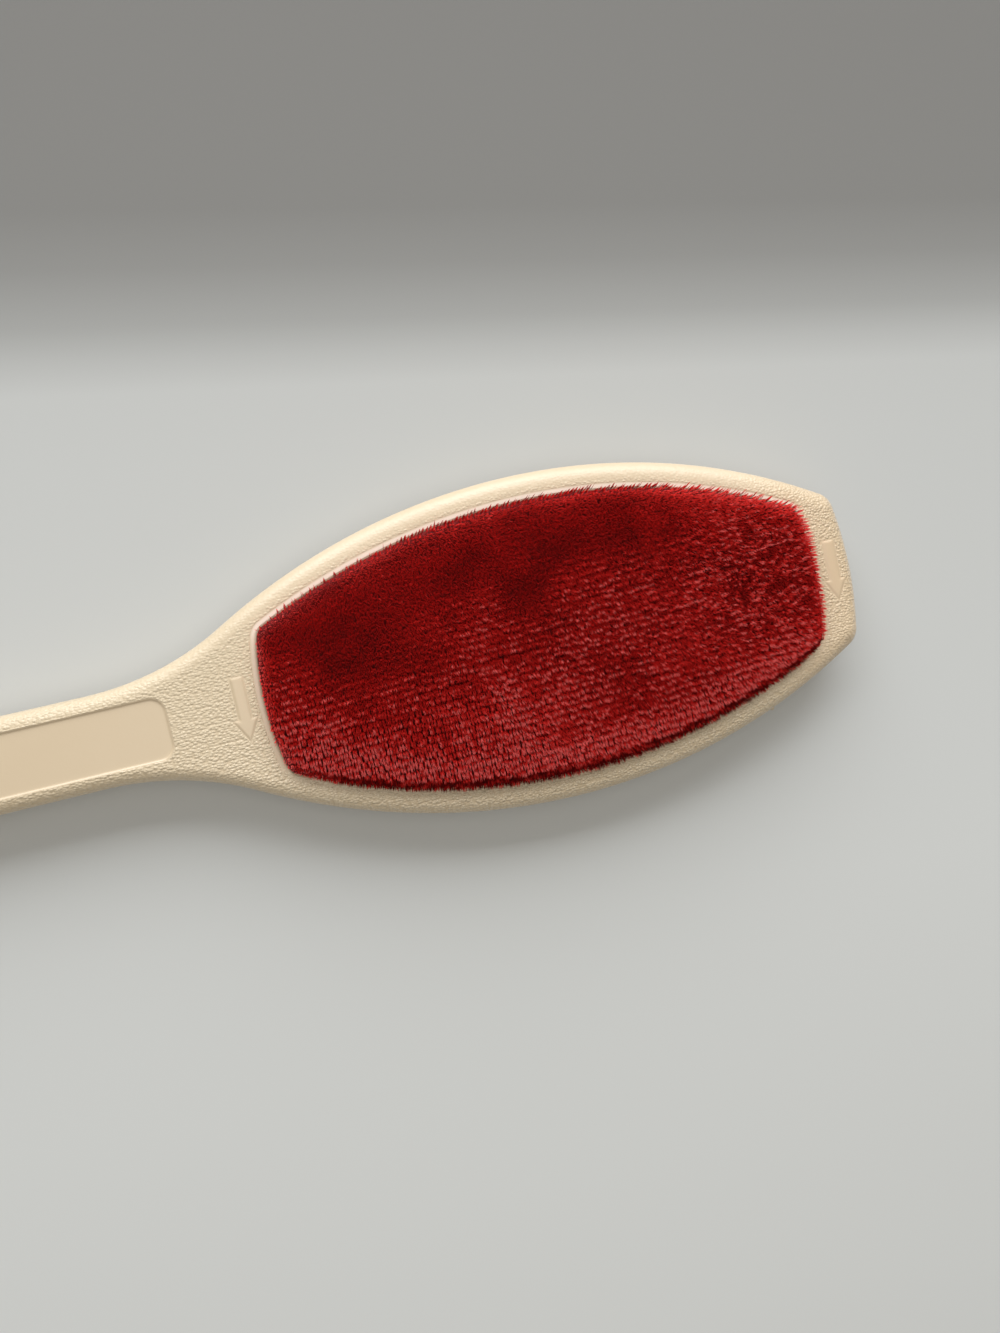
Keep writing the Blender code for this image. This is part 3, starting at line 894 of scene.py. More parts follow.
def face_shell(edge_ring, spacing):
    """The front face of the moulding, with its recess, label panel, arrows and half its hole."""
    shell = Shell()
    recess = pad_outline(OUTLINE_SPACING)
    outs = recess[1]
    shift = RECESS_END_SHIFT * np.abs(outs[:, :1])
    high = np.clip(LIP_SIDE_SPREAD * outs[:, 1], 0, 1)
    low = np.clip(-LIP_SIDE_SPREAD * outs[:, 1], 0, 1)
    recess_rings, shares = [], []
    for step, (line, rise) in enumerate(RECESS_STEPS):
        flatter = LIP_FLATTER_SHARE * high * (line > LIP_EDGE)
        recess_rings.append(ring_at(recess, line - shift, FACE_Z + rise * (1 - flatter)))
        # A painted pink glow from the pile, fullest on the +Y side and none on the grained -Y side
        pink_glow = LIP_LEAST_GLOW_SHARE + (1 - LIP_LEAST_GLOW_SHARE) * high
        pink_glow *= min(1, step / LIP_GLOW_STEPS)
        shares.append(LIP_GRAIN_SHARE * low - pink_glow * (1 - low))
    shell.strip(recess_rings, np.concatenate(shares), inward=True)
    shell.cap(recess_rings[-1])

    panel_rings = stepped(panel_outline(SHAPE_SPACING), PANEL_STEPS)
    shell.strip(panel_rings, 0.0, inward=True)
    shell.cap(panel_rings[-1])

    arrow_feet = []
    for centre_x in (RECESS_TIP_X + ARROW_FROM_RECESS, RECESS_NECK_X - ARROW_FROM_RECESS):
        rings = stepped(arrow_outline(centre_x, SHAPE_SPACING), ARROW_STEPS)
        shell.strip(rings[::-1], 0.0)
        shell.cap(rings[-1])
        arrow_feet.append(rings[0])

    hole = circle((HANDLE_END_X + HANG_HOLE_FROM_END, 0), HANG_HOLE_DIAMETER / 2, HOLE_STEPS)
    hole_rings = []
    for outwards, down in quarter_round(HOLE_ROUNDING_STEPS):
        height = FACE_Z - HANG_HOLE_ROUNDING * down
        hole_rings.append(ring_at(hole, HANG_HOLE_ROUNDING * outwards, height))
    hole_rings.append(ring_at(hole, 0, 0))
    shell.strip(hole_rings, 0.0, inward=True)
    holes = [recess_rings[0], panel_rings[0], hole_rings[0], *arrow_feet]
    shell.flat(edge_ring, holes, FACE_Z, spacing)
    return shell


def moulding_mesh():
    """The moulding with fine faces where it is grained."""
    edge = edge_rings()
    shell = Shell()
    shell.join(face_shell(edge[0], FRONT_SPACING))
    shell.join(face_shell(edge[0], BACK_SPACING), turned_over=True)
    x, y, _ = np.concatenate(edge).T
    polished = smooth_step(*POLISHED_NECK_RUN, x) * smooth_step(*POLISHED_TIP_RUN, x)
    shell.strip(edge, 1 - POLISHED_SHARE * polished * smooth_step(*POLISHED_SIDE_RUN, y))
    return shell.mesh("moulding")


def crowned_rings(inset, base):
    """Rings of a surface that follows the foam's crown, from its edge to near its crest."""
    walls, outs = pad_outline(LAYER_SPACING)
    edges = walls - (inset + END_DRAW * np.abs(outs[:, :1])) * outs
    feet = np.column_stack([
        np.clip(walls[:, 0], RECESS_NECK_X + CREST_FROM_END, RECESS_TIP_X - CREST_FROM_END),
        np.zeros(len(walls))])
    rings = []
    for share in CROWN_SHARES:
        points = feet + (edges - feet) * (1 - share)
        nearness = np.linalg.norm(points - feet, axis=1) / np.linalg.norm(walls - feet, axis=1)
        rise = FOAM_CROWN * (1 - nearness ** CROWN_POWER_SHARE)
        rings.append(np.column_stack([points, base + rise]))
    return rings


def flattened(rings, height):
    """Rings pressed flat at one height."""
    return [ring * (1, 1, 0) + (0, 0, height) for ring in rings]


def closed_mesh(name, rings):
    """A closed mesh on rings that run from its top down to its bottom."""
    shell = Shell()
    shell.strip(rings, 0.0)
    shell.cap(rings[0])
    shell.cap(rings[-1], facing_down=True)
    return shell.mesh(name)


def layer_mesh(name, inset, low, high, crowned_below):
    """A closed layer of the pad, with its edges a little rounded."""
    mid_height = (low + high) / 2
    middle = crowned_rings(inset - LAYER_BULGE, mid_height)[:1]
    under = crowned_rings(inset, low)
    if not crowned_below:
        middle = flattened(middle, mid_height)
        under = flattened(under, low)
    return closed_mesh(name, crowned_rings(inset, high)[::-1] + middle + under)


def film_mesh(name):
    """The thin flat film under a pad, whose edge stays clear of the moulding."""
    edge = crowned_rings(FILM_INSET, 0)[:1]
    top = RECESS_FLOOR_Z + LAYER_GAP + ADHESIVE_THICKNESS
    return closed_mesh(name, flattened(edge, top) + flattened(edge, top - ADHESIVE_THICKNESS))


def turned_to_back(mesh):
    """Turn a front piece's mesh half round about the long line, onto the back."""
    lift = Matrix.Translation((0, 0, MIDDLE_HEIGHT))
    mesh.transform(lift @ Matrix.Rotation(math.pi, 4, "X") @ lift.inverted())


def foam_material(settings):
    """Pale open foam with small cells, with painted shade in their hollows."""
    material, tree, shader = new_material("pad_foam")
    cells = value_of(tree, "ShaderNodeTexVoronoi", {
        "Vector": object_place(tree), "Scale": FOAM_CELL_SCALE}, "Distance")
    painted_shade = toned(settings.foam_colour, FOAM_PORE_SHADE_TONE)
    colour = ramp_of(cells, ((0.0, painted_shade), (0.45, settings.foam_colour)))
    dress_shader(shader, colour, {"Roughness": 0.95}, cells, 0.00008, 0.8)
    return material


def cloth_material(settings):
    """Plain woven ground cloth, in the weave's own scale, with painted shade between its threads."""
    material, tree, shader = new_material("woven_ground_cloth")
    place = object_place(tree)
    x, y, _ = split_of(place)
    woven = (x * WARP_SCALE).math("SINE") * (y * WEFT_SCALE).math("SINE") * 0.5 + 0.5
    height = noise_of(place, FUZZ_SCALE, 3.0) * 0.4 + woven
    painted_shade = toned(settings.cloth_colour, CLOTH_THREAD_SHADE_TONE)
    colour = ramp_of(height, ((0.1, painted_shade), (1.1, settings.cloth_colour)))
    dress_shader(shader, colour, {"Roughness": 0.9}, height, 0.00006)
    return material


def film_material():
    """Clear yellowish adhesive film with faint streaks."""
    material, tree, shader = new_material("adhesive_film")
    stretched = vector_of("MULTIPLY", object_place(tree), STREAK_STRETCH)
    streaks = noise_of(stretched, STREAK_SCALE, 3.0)
    colour = ramp_of(streaks, FILM_COLOURS)
    dress_shader(shader, colour, {"Roughness": 0.28}, streaks, 0.00003, 0.4)
    return material


def pile_tree(inputs):
    """A tree that plants upright fibres on a surface below it, in rows of tufts."""
    tree, given, last = new_tree("velour_rows", inputs)
    row_pitch, tuft_pitch = given["Row Pitch"], given["Tuft Pitch"]
    rows, tufts, seed = given["Rows"], given["Tufts"], given["Seed"]

    # A flat grid of tufts, with every other row moved half a pitch
    width = (rows - 1.0) * row_pitch
    grid = value_of(tree, "GeometryNodeMeshGrid", {
        "Size X": (tufts - 1.0) * tuft_pitch, "Size Y": width,
        "Vertices X": tufts, "Vertices Y": rows})
    place = value_of(tree, "GeometryNodeInputPosition")
    x, y, z = split_of(place)
    row = ((width * 0.5 + y) / row_pitch).math("ROUND") + given["First Row"]
    shift = row.math("FLOORED_MODULO", 2.0) * 0.5 * tuft_pitch + given["Middle X"]
    above = joined(
        tree, x + shift, row * row_pitch + x * given["Row Skew"], given["Top Height"])
    placed = stored(moved(grid, Position=above), "tuft_place", place)
    placed = stored(placed, "tuft_random", random_of(seed))

    # The fibres of each tuft, dropped onto the bed below them
    copied = value_of(tree, "GeometryNodeDuplicateElements", {
        "Geometry": placed, "Amount": given["Fibres Per Tuft"]}, domain="POINT")
    half_cell = joined(tree, tuft_pitch * 0.5, row_pitch * 0.5)
    strewn = random_of(seed + STREWN_SEED_STEP, (-1, -1, 0), (1, 1, 0))
    spread = moved(copied, Offset=vector_of("MULTIPLY", strewn, half_cell))
    found = add_node(tree, "GeometryNodeRaycast", {
        "Target Geometry": given["Geometry"], "Source Position": place,
        "Ray Direction": (0, 0, -1), "Ray Length": 1.0}, data_type="FLOAT").outputs
    rooted = stored(spread, "root", Value(tree, found["Hit Position"]))
    missed = value_of(
        tree, "FunctionNodeBooleanMath", {0: Value(tree, found["Is Hit"])}, operation="NOT")
    rooted = value_of(tree, "GeometryNodeDeleteGeometry", {
        "Geometry": rooted, "Selection": missed}, domain="POINT")
    rooted = moved(rooted, Position=named_value(tree, "root", "FLOAT_VECTOR"))
    rooted = stored(rooted, "fibre_random", random_of(seed + FIBRE_SEED_STEP))

    # One fibre, pointed at both ends, that knows how far along and across itself it is
    radius, height = given["Fibre Radius"], given["Fibre Height"]
    waist = height * WAIST_SHARE
    cone = value_of(tree, "GeometryNodeMeshCone", {
        "Vertices": 3, "Side Segments": 1, "Fill Segments": 1, "Radius Top": radius,
        "Radius Bottom": 0.0, "Depth": waist}, "Mesh", fill_type="TRIANGLE_FAN")
    level = vector_of("MULTIPLY", place, (1, 1, 0))
    from_axis = value_of(
        tree, "ShaderNodeVectorMath", {0: level}, "Value", operation="LENGTH")
    centred = (from_axis / radius).ramp(-1.0, 1.0) * z.math("DIVIDE", waist, clamp=True)
    fibre = moved(cone, Offset=joined(tree, z=centred * (height - waist)))
    strand = joined(tree, (y * 0.6 + x) / radius, z / height)
    fibre = stored(fibre, "strand", strand)
    turn = random_of(seed + TURN_SEED_STEP, high=(0, 0, math.tau))
    planted = value_of(tree, "GeometryNodeInstanceOnPoints", {
        "Points": rooted, "Instance": fibre, "Rotation": turn})
    end_tree(planted, given, last)
    return tree


def values_of(mesh, name):
    """A mesh's vector attribute as an array."""
    found = np.empty(len(mesh.vertices) * 3, np.float32)
    mesh.attributes[name].data.foreach_get("vector", found)
    return found.reshape(-1, 3).astype(float)


def smooth_step(low, high, value):
    """A share from 0 at the low value to 1 at the high one."""
    share = np.clip((value - low) / (high - low), 0, 1)
    return share * share * (3 - 2 * share)


def waves(points, size, seed):
    """A smooth random share for each point, in patches of about one size."""
    lattice = np.random.default_rng(seed).random((WAVE_GRID, WAVE_GRID))
    place = points / size + WAVE_GRID / 2
    whole = np.floor(place).astype(int)
    along, across = smooth_step(0, 1, place - whole).T
    x, y = whole.T % WAVE_GRID
    next_x, next_y = (x + 1) % WAVE_GRID, (y + 1) % WAVE_GRID
    near = lattice[x, y] * (1 - along) + lattice[next_x, y] * along
    far = lattice[x, next_y] * (1 - along) + lattice[next_x, next_y] * along
    return near * (1 - across) + far * across


def pad_zones(roots, tufts):
    """Shares that say how the nap lies at each fibre."""
    wall, wall_outs = pad_outline(2 * LAYER_SPACING)
    apart = np.linalg.norm(roots[:, None, :] - wall[None, :, :], axis=2)
    outwards = wall_outs[apart.argmin(1)]
    to_wall = apart.min(1)
    high = np.clip(outwards[:, 1], 0, 1)
    y = roots[:, 1]
    along_pad = (roots[:, 0] - RECESS_NECK_X) / RECESS_LENGTH
    mottle = waves(tufts, *MOTTLE) - 0.5
    low_edge = smooth_step(*LOW_EDGE, to_wall) * np.clip(-outwards[:, 1], 0, 1)
    blocks = smooth_step(0.62, 0.30, along_pad) * smooth_step(0.0, -0.016, y)
    border = 0.0045 + 0.0165 * smooth_step(0.15, 0.80, along_pad) + 0.011 * mottle
    return SimpleNamespace(
        outwards=outwards,
        to_wall=to_wall,
        mottle=mottle,
        gust=waves(tufts, *GUST) - 0.5,
        row_run=waves(tufts * (0.35, 1.6), *ROW_RUN),
        column_run=waves(tufts * (1.6, 0.35), *COLUMN_RUN),
        blotch=waves(roots * (1.0, 0.5), *BLOTCH) - 0.5,
        tipwards=smooth_step(0.55, 0.82, along_pad),
        high_band=smooth_step(*HIGH_BAND, to_wall) * high,
        settled=smooth_step(0.0050, -0.0120, tufts[:, 1] - border),
        blocks=1 - (1 - blocks) * (1 - 0.8 * low_edge),
        low_edge=low_edge,
        columns=smooth_step(0.60, 0.15, along_pad),
        low_corner=smooth_step(0.12, 0.02, along_pad) + smooth_step(0.90, 0.98, along_pad),
        neck_corner=smooth_step(0.12, 0.03, along_pad) * smooth_step(-0.004, -0.012, y),
        neckwards=np.clip(-2 * outwards[:, 0], 0, 1),
        wild=smooth_step(0.55, 0.85, along_pad) * smooth_step(-0.018, -0.006, y),
        high_rim=smooth_step(*HIGH_RIM, to_wall) * high,
        end_rim=smooth_step(*END_RIM, to_wall) * np.abs(outwards[:, 0]),
        low_rim=smooth_step(*LOW_RIM, to_wall) * np.clip(-1.6 * outwards[:, 1], 0, 1))


def lock_pull(roots):
    """The way from each root to the middle of its lock of fibres, and each lock's own share."""
    cell = np.floor(roots / LOCK_SIZE).astype(int)
    x, y = cell.T % LOCK_GRID
    own = np.random.default_rng(LOCK_SEED).random((3, LOCK_GRID, LOCK_GRID))[:, x, y]
    middle = (cell + 0.25 + 0.5 * own[:2].T) * LOCK_SIZE
    return middle - roots, own[2]


def comb(mesh, settings, rests):
    """Lean, spread and press the upright fibres, and shade each one."""
    strand = values_of(mesh, "strand")
    if len(strand) % FIBRE_POINTS:
        raise RuntimeError("The pile is not made of whole fibres")
    place = values_of(mesh, "position").reshape(-1, FIBRE_POINTS, 3)
    along = np.clip(strand[:, 1], 0, 1).reshape(-1, FIBRE_POINTS)
    root = values_of(mesh, "root")[::FIBRE_POINTS]
    tuft = values_of(mesh, "tuft_place")[::FIBRE_POINTS, :2]
    tuft_random = values_of(mesh, "tuft_random")[::FIBRE_POINTS]
    fibre_random = values_of(mesh, "fibre_random")[::FIBRE_POINTS]
    thickness = place[:, :, :2] - root[:, None, :2]
    zone = pad_zones(root[:, :2], tuft)
    settled, wild, blocks = zone.settled, zone.wild, zone.blocks
    outwards, gust, mottle = zone.outwards, zone.gust, zone.mottle
    high_rim, end_rim, low_rim = zone.high_rim, zone.end_rim, zone.low_rim
    neckwards, tipwards = zone.neckwards, zone.tipwards

    # Tufts draw together where the nap has settled into rows, and by the neck into columns
    gathered = settled * (1 - low_rim)
    fill = np.column_stack([
        1 - gathered * (0.07 * blocks + 0.08 * zone.columns),
        1 - gathered * (0.09 + 0.05 * blocks - 0.05 * wild)])
    from_tuft = (root[:, :2] - tuft) * fill
    strayed = (tuft_random[:, 1::-1] - 0.5) * (0.00020, 0.00022)
    foot = tuft + from_tuft + strayed * gathered[:, None]
    half_side = np.where(from_tuft[:, 0] > 0, 0.5, -0.5)
    half_random = (tuft_random[:, 2] + 0.37 * half_side + 0.5) % 1

    # Painted highlights where the light would catch the fibres: thin broken lines along the rows, or
    # waves by the tip
    fine = waves(root[:, :2] * (0.75, 1.0), *BROKEN_LINE)
    own = tuft_random[:, 2] * (1 - blocks) + half_random * blocks
    in_row = from_tuft[:, 1] / (settings.row_pitch / 2 * fill[:, 1])
    middle = -0.10 + (0.8 - 0.4 * blocks) * (tuft_random[:, 0] - 0.5)
    line = np.exp(-((in_row - middle) / (0.35 + 0.55 * blocks)) ** 2)
    glow = 0.50 * zone.row_run + 0.36 * zone.column_run + 0.52 * own + 0.6 * zone.blotch
    glow += 0.09 + 0.24 * tipwards
    glow = np.clip(glow + 0.46 * zone.low_edge, 0, 1)
    bent = root[:, :2] + np.column_stack([0 * gust, 0.0006 * waves(root[:, :2], *WAVE_BEND)])
    wave = waves(bent * (0.40, 1.3), *TIP_WAVE)
    in_rows = line * glow ** (1.5 + 0.9 * blocks) * (0.12 + 1.45 * smooth_step(0.15, 0.85, fine))
    in_waves = smooth_step(0.42, 0.78, wave) * (0.50 + 0.45 * glow) * (0.55 + 0.6 * line)
    lit = 1.10 * settled * (in_rows * (1 - wild) + in_waves * wild)
    lit += 0.34 * blocks * settled * line * smooth_step(0.84, 0.94, half_random)
    lit *= (1 - 0.85 * end_rim) * (1 - 0.25 * low_rim) * (1 - 0.9 * high_rim)
    # Sparse painted glints on single tufts where the nap stands up
    from_middle = np.linalg.norm(from_tuft - 0.0003 * (tuft_random[:, :2] - 0.5), axis=1)
    spark = (tuft_random[:, 1] > 0.80) * (1 - settled) * smooth_step(-0.3, 0.3, mottle)
    spark = spark * np.exp(-(from_middle / 0.00024) ** 2)

    # The lean towards -Y, less where the nap stands up, and outwards round the rim
    reach = settings.lean * (0.34 + 0.24 * settled + 0.16 * gust - 0.06 * blocks + 0.08 * lit)
    reach *= 1 - 0.45 * wild * settled
    reach *= 1 - 0.95 * high_rim - 0.45 * end_rim * (1 - high_rim) - 0.80 * low_rim
    sideways = 0.00030 * (mottle + gust) + 0.00035 * high_rim
    sideways += (half_random - 0.5) * (0.00010 + 0.00020 * settled + 0.00006 * wild)
    lean = np.column_stack([sideways, -reach])
    lean[:, 1] += (tuft_random[:, 1] - 0.5) * 0.00026 * settled
    edge = smooth_step(*LOCKED_EDGE, zone.to_wall) * (1 - low_rim)
    fringe = smooth_step(*FRINGE, zone.to_wall) * np.clip(1.5 * outwards[:, 1], 0, 1)
    loose = (0.00026 - 0.00008 * settled - 0.00004 * wild) * (1 - 0.65 * edge)
    loose *= (1 - 0.5 * zone.high_band) * (1 - 0.4 * end_rim)
    lean += (fibre_random[:, :2] - 0.5) * loose[:, None]
    from_half = np.column_stack([
        half_side * settings.tuft_pitch / 2 - from_tuft[:, 0], -0.3 * from_tuft[:, 1]])
    lean += from_half * (0.35 * blocks * gathered)[:, None]
    pull, lock = lock_pull(root[:, :2])
    lean += pull * (edge * (0.97 - 0.17 * fringe))[:, None]
    outward = 0.00016 * end_rim + 0.00108 * low_rim * (1 - 0.7 * zone.low_corner)
    low_tip = tipwards * smooth_step(-0.006, -0.018, root[:, 1])
    high_tip = tipwards * smooth_step(-0.004, 0.010, root[:, 1])
    outward += end_rim * (0.00014 * tipwards + 0.00044 * high_tip - 0.00055 * low_tip)
    outward += 0.00030 * (tuft_random[:, 1] - 0.4) * end_rim * edge
    outward += fringe * neckwards * 0.00012
    calm = end_rim * (1 - 0.6 * fringe)
    tall = 0.60 + 1.05 * lock + neckwards * (0.9 * lock - 0.30)
    tall *= fringe * (1 - 0.7 * calm)
    lean[:, 0] += 0.00040 * tall * np.clip(1 + 2.4 * outwards[:, 0], -0.3, 1)
    spike = lock ** 1.5 * (1 - fringe) + tall
    spike *= (0.00074 - 0.00056 * calm) * edge
    lean += (outward + spike)[:, None] * outwards

    # The height, and the bend from an upright root to the lean at the tip
    height = settings.fibre_height * (0.94 + 0.10 * fibre_random[:, 2])
    height += 0.00012 * (tuft_random[:, 2] - 0.5) * settled + 0.00010 * lit
    height *= 1 - 0.55 * low_rim - 0.08 * end_rim
    bend = 0.40 * along + 0.60 * along ** 2
    made = np.empty_like(place)
    made[:, :, :2] = foot[:, None] + thickness + lean[:, None] * bend[:, :, None]
    rise = 1.10 * along - 0.10 * along ** 2
    made[:, :, 2] = root[:, 2:] + height[:, None] * rise - ROOT_DEPTH
    if rests:
        limit = MIDDLE_HEIGHT + REST_Z - PRESSED_DEPTH
        over = made[:, :, 2] > limit
        pressed = np.clip((made[over, 2] - limit) / PRESSED_REACH, 0, 1)
        made[over, 2] = limit + PRESSED_LAYER * pressed ** PRESSED_POWER_SHARE
    mesh.attributes["position"].data.foreach_set("vector", made.astype(np.float32).ravel())

    # The shade: painted light along the high edge, at the ends and by the neck, painted highlights
    # and glints, painted shade where the nap stands up, painted shadow in the low rim, and darker
    # fringe tips
    band, neck_corner = zone.high_band, zone.neck_corner
    even = np.maximum(band, end_rim)
    shade = 0.30 + 0.10 * (fibre_random[:, 0] - 0.5) * (1 - 0.7 * even)
    shade += 0.10 * gust + 0.10 * mottle + 0.86 * lit + 0.50 * spark
    shade += settled * (0.10 * blocks - 0.035 * (1 - blocks) - 0.03 * wild)
    shade -= 0.05 * (1 - settled) * (1 - band)
    shade += 0.22 * high_rim + 0.16 * band - 0.52 * fringe
    shade -= 0.68 * low_rim * (1 - 0.8 * neck_corner)
    by_neck = 0.12 * neckwards * (1 - fringe) + 0.22 * neck_corner
    shade += (0.46 + 0.12 * tipwards + by_neck) * end_rim
    # How much of the painted root shade each fibre shows
    root_shade_reach = 0.42 + 0.22 * settled + 0.30 * low_rim - 0.20 * band - 0.34 * end_rim + 0.25 * fringe
    strand[:, 1] = 1 - (1 - strand[:, 1]) * np.repeat(root_shade_reach, FIBRE_POINTS)
    fibre_map(mesh, np.repeat(np.clip(shade, 0.02, 0.98), FIBRE_POINTS), strand)
    for name in ("root", "tuft_place", "tuft_random", "fibre_random", "strand"):
        mesh.attributes.remove(mesh.attributes[name])
    mesh.update()


def fibre_map(mesh, shade, strand):
    """Lay the fibres on one map, with their shade across it and their length up it."""
    corners = np.empty(len(mesh.loops), np.int32)
    mesh.loops.foreach_get("vertex_index", corners)
    across = shade + MAP_SHARE * strand[:, 0]
    up = 0.02 + 0.96 * strand[:, 1]
    layer = mesh.uv_layers.new(name=FIBRE_MAP)
    places = np.column_stack([across, up])[corners]
    layer.uv.foreach_set("vector", places.astype(np.float32).ravel())


def pile_material(settings):
    """Red velour fibres, with painted shade at their roots and painted highlights where they would
    catch the light.
    """
    material, tree, shader = new_material("red_velour_fibre")
    shade, along, _ = split_of(value_of(tree, "ShaderNodeUVMap", uv_map=FIBRE_MAP))
    reds = [(stop, toned(settings.colour, tone)) for stop, tone in FIBRE_LIGHT_TONES]
    colour = tinted(ramp_of(shade, reds), along, FIBRE_ROOT_SHADE_TONES)
    dress_shader(shader, colour, {"Roughness": settings.roughness, "Specular IOR Level": 0.08})
    return material


def build_pile(side, settings, bands, fibres, radius):
    """The pile of one face, in bands of rows."""
    shell = Shell()
    rings = crowned_rings(PILE_INSET, CLOTH_TOP_Z)
    shell.strip(rings[::-1], 0.0)
    shell.cap(rings[-1])
    bed = shell.mesh("pile_bed")
    all_rows = 2 * math.ceil(HEAD_WIDTH / 2 / settings.row_pitch) + 1
    inputs = {
        "Row Pitch": settings.row_pitch,
        "Tuft Pitch": settings.tuft_pitch,
        "Row Skew": math.tan(ROW_SKEW),
        "First Row": -(all_rows // 2),
        "Rows": all_rows // bands,
        "Tufts": round(RECESS_LENGTH / settings.tuft_pitch) + 4,
        "Middle X": PAD_MIDDLE_X,
        "Top Height": MIDDLE_HEIGHT + PILE_TOP_Z + DROP_HEIGHT,
        "Fibre Height": settings.fibre_height,
        "Fibre Radius": radius,
        "Fibres Per Tuft": fibres,
        "Seed": settings.seed,
        "Material": pile_material(settings)}
    tree = pile_tree(inputs)
    last_row = inputs["First Row"] + all_rows
    pieces = []
    for band in range(bands):
        inputs["Rows"] = (last_row - inputs["First Row"]) // (bands - band)
        inputs["Seed"] = settings.seed + BAND_SEED_STEP * band
        mesh = result_of(f"{side}_pile_{band + 1}", bed, tree, inputs)
        inputs["First Row"] += inputs["Rows"]
        comb(mesh, settings, rests=side == "back")
        if side == "back":
            turned_to_back(mesh)
        pieces.append(finish_piece(mesh.name, mesh, "pile", side + "_pile"))
    bpy.data.meshes.remove(bed)
    return pieces


def colour_setting(name, description, default):
    """A colour that can be set."""
    return FloatVectorProperty(
        name=name, description=description, default=default,
        subtype="COLOR", size=3, min=0, max=1)


def length_setting(name, description, default, least=0.0):
    """A length in metres that can be set."""
    return FloatProperty(
        name=name, description=description, default=default, min=least, unit="LENGTH")


def share_setting(name, description, default):
    """A share from 0 to 1 that can be set."""
    return FloatProperty(
        name=name, description=description, default=default, subtype="FACTOR", min=0, max=1)


def power_setting(name, description, default):
    """A lamp's power in watts that can be set."""
    return FloatProperty(
        name=name, description=description, default=default, unit="POWER", min=0)


def whole_setting(name, description, default, least=1):
    """A whole number that can be set."""
    return IntProperty(name=name, description=description, default=default, min=least)


class MouldingSettings(bpy.types.PropertyGroup):
    """Sizes and colour of the moulding's finish."""

    colour: colour_setting(
        "Plastic colour", "Colour of the moulded plastic", (0.74, 0.61, 0.42))
    roughness: share_setting(
        "Plastic roughness", "Roughness of the plastic between its scuffs", 0.42)
    grain_length: length_setting(
        "Grain length", "Length of a pebble of the grain, along the brush", 0.00080, 0.0001)
    grain_width: length_setting(
        "Grain width", "Width of a pebble of the grain, across the brush", 0.00053, 0.0001)
    grain_depth: length_setting(
        "Grain depth", "Depth of the grain in the shape itself", 0.00004)
    grain_bump: length_setting(
        "Grain bump", "Depth of the grain that the finish adds to the shape", 0.00025)


class PadSettings(bpy.types.PropertyGroup):
    """Colours of the layers under the pile."""

    cloth_colour: colour_setting(
        "Cloth colour", "Colour of the woven ground cloth", (0.26, 0.009, 0.009))
    foam_colour: colour_setting(
        "Foam colour", "Colour of the foam under the cloth", (0.70, 0.62, 0.50))


class PileSettings(bpy.types.PropertyGroup):
    """Sizes and colour of the velour."""

    colour: colour_setting(
        "Fibre colour", "Colour of the fibres at their middle shade", (0.60, 0.011, 0.009))
    roughness: share_setting("Fibre roughness", "Roughness of the fibres", 0.42)
    row_pitch: length_setting(
        "Row pitch", "Distance between two rows of tufts", 0.0015, 0.0005)
    tuft_pitch: length_setting(
        "Tuft pitch", "Distance between two tufts of a row", 0.00125, 0.0005)
    fibre_height: length_setting(
        "Fibre height", "Height of the fibres above the ground cloth", 0.0025, 0.0005)
    fibre_radius: length_setting(
        "Fibre radius", "Radius of a fibre on the front", 0.000072, 0.00001)
    lean: length_setting(
        "Nap lean", "How far a fibre's tip lies beyond its root", 0.0018)
    fibres: whole_setting("Fibres per tuft", "Fibres in each tuft of the front pad", 54)
    back_fibres: whole_setting("Fibres per back tuft", "Fibres in each tuft of the back pad", 22)
    seed: whole_setting("Seed", "Start of the random draws of the pile", 11, 0)


class StageSettings(bpy.types.PropertyGroup):
    """Floor, lamps and sky."""

    floor_colour: colour_setting(
        "Floor colour", "Colour of the floor round the brush", (0.673, 0.685, 0.663))
    # The far floor's colour is painted shade, darker than the floor round the brush
    far_shade_colour: colour_setting(
        "Far floor colour", "Colour of the floor beyond the brush's +Y side",
        (0.198, 0.194, 0.182))
    key_power: power_setting("Key power", "Power of the low soft lamp on the +Y side", 12.2)
    fill_power: power_setting("Fill power", "Power of the wide lamp overhead", 3.15)
    sky_strength: FloatProperty(
        name="Sky strength", description="Strength of the even light from all round",
        min=0, default=0.24)


class LINTBRUSH_OT_moulding(bpy.types.Operator):
    """Build the grained moulding over the CAD moulding"""

    bl_idname = "lint_brush.moulding"
    bl_label = "Moulding"

    def execute(self, context):
        settings = context.scene.lint_brush_moulding
        inputs = {
            "Grain Length": settings.grain_length,
            "Grain Width": settings.grain_width,
            "Grain Depth": settings.grain_depth,
            "Material": plastic_material(settings)}
        base = moulding_mesh()
        mesh = result_of("moulding", base, grain_tree(inputs), inputs)
        mesh.set_sharp_from_angle(angle=SMOOTH_ANGLE)
        finish_piece("moulding", mesh, "cream_plastic", "handle_body")
        bpy.data.meshes.remove(base)
        return {"FINISHED"}


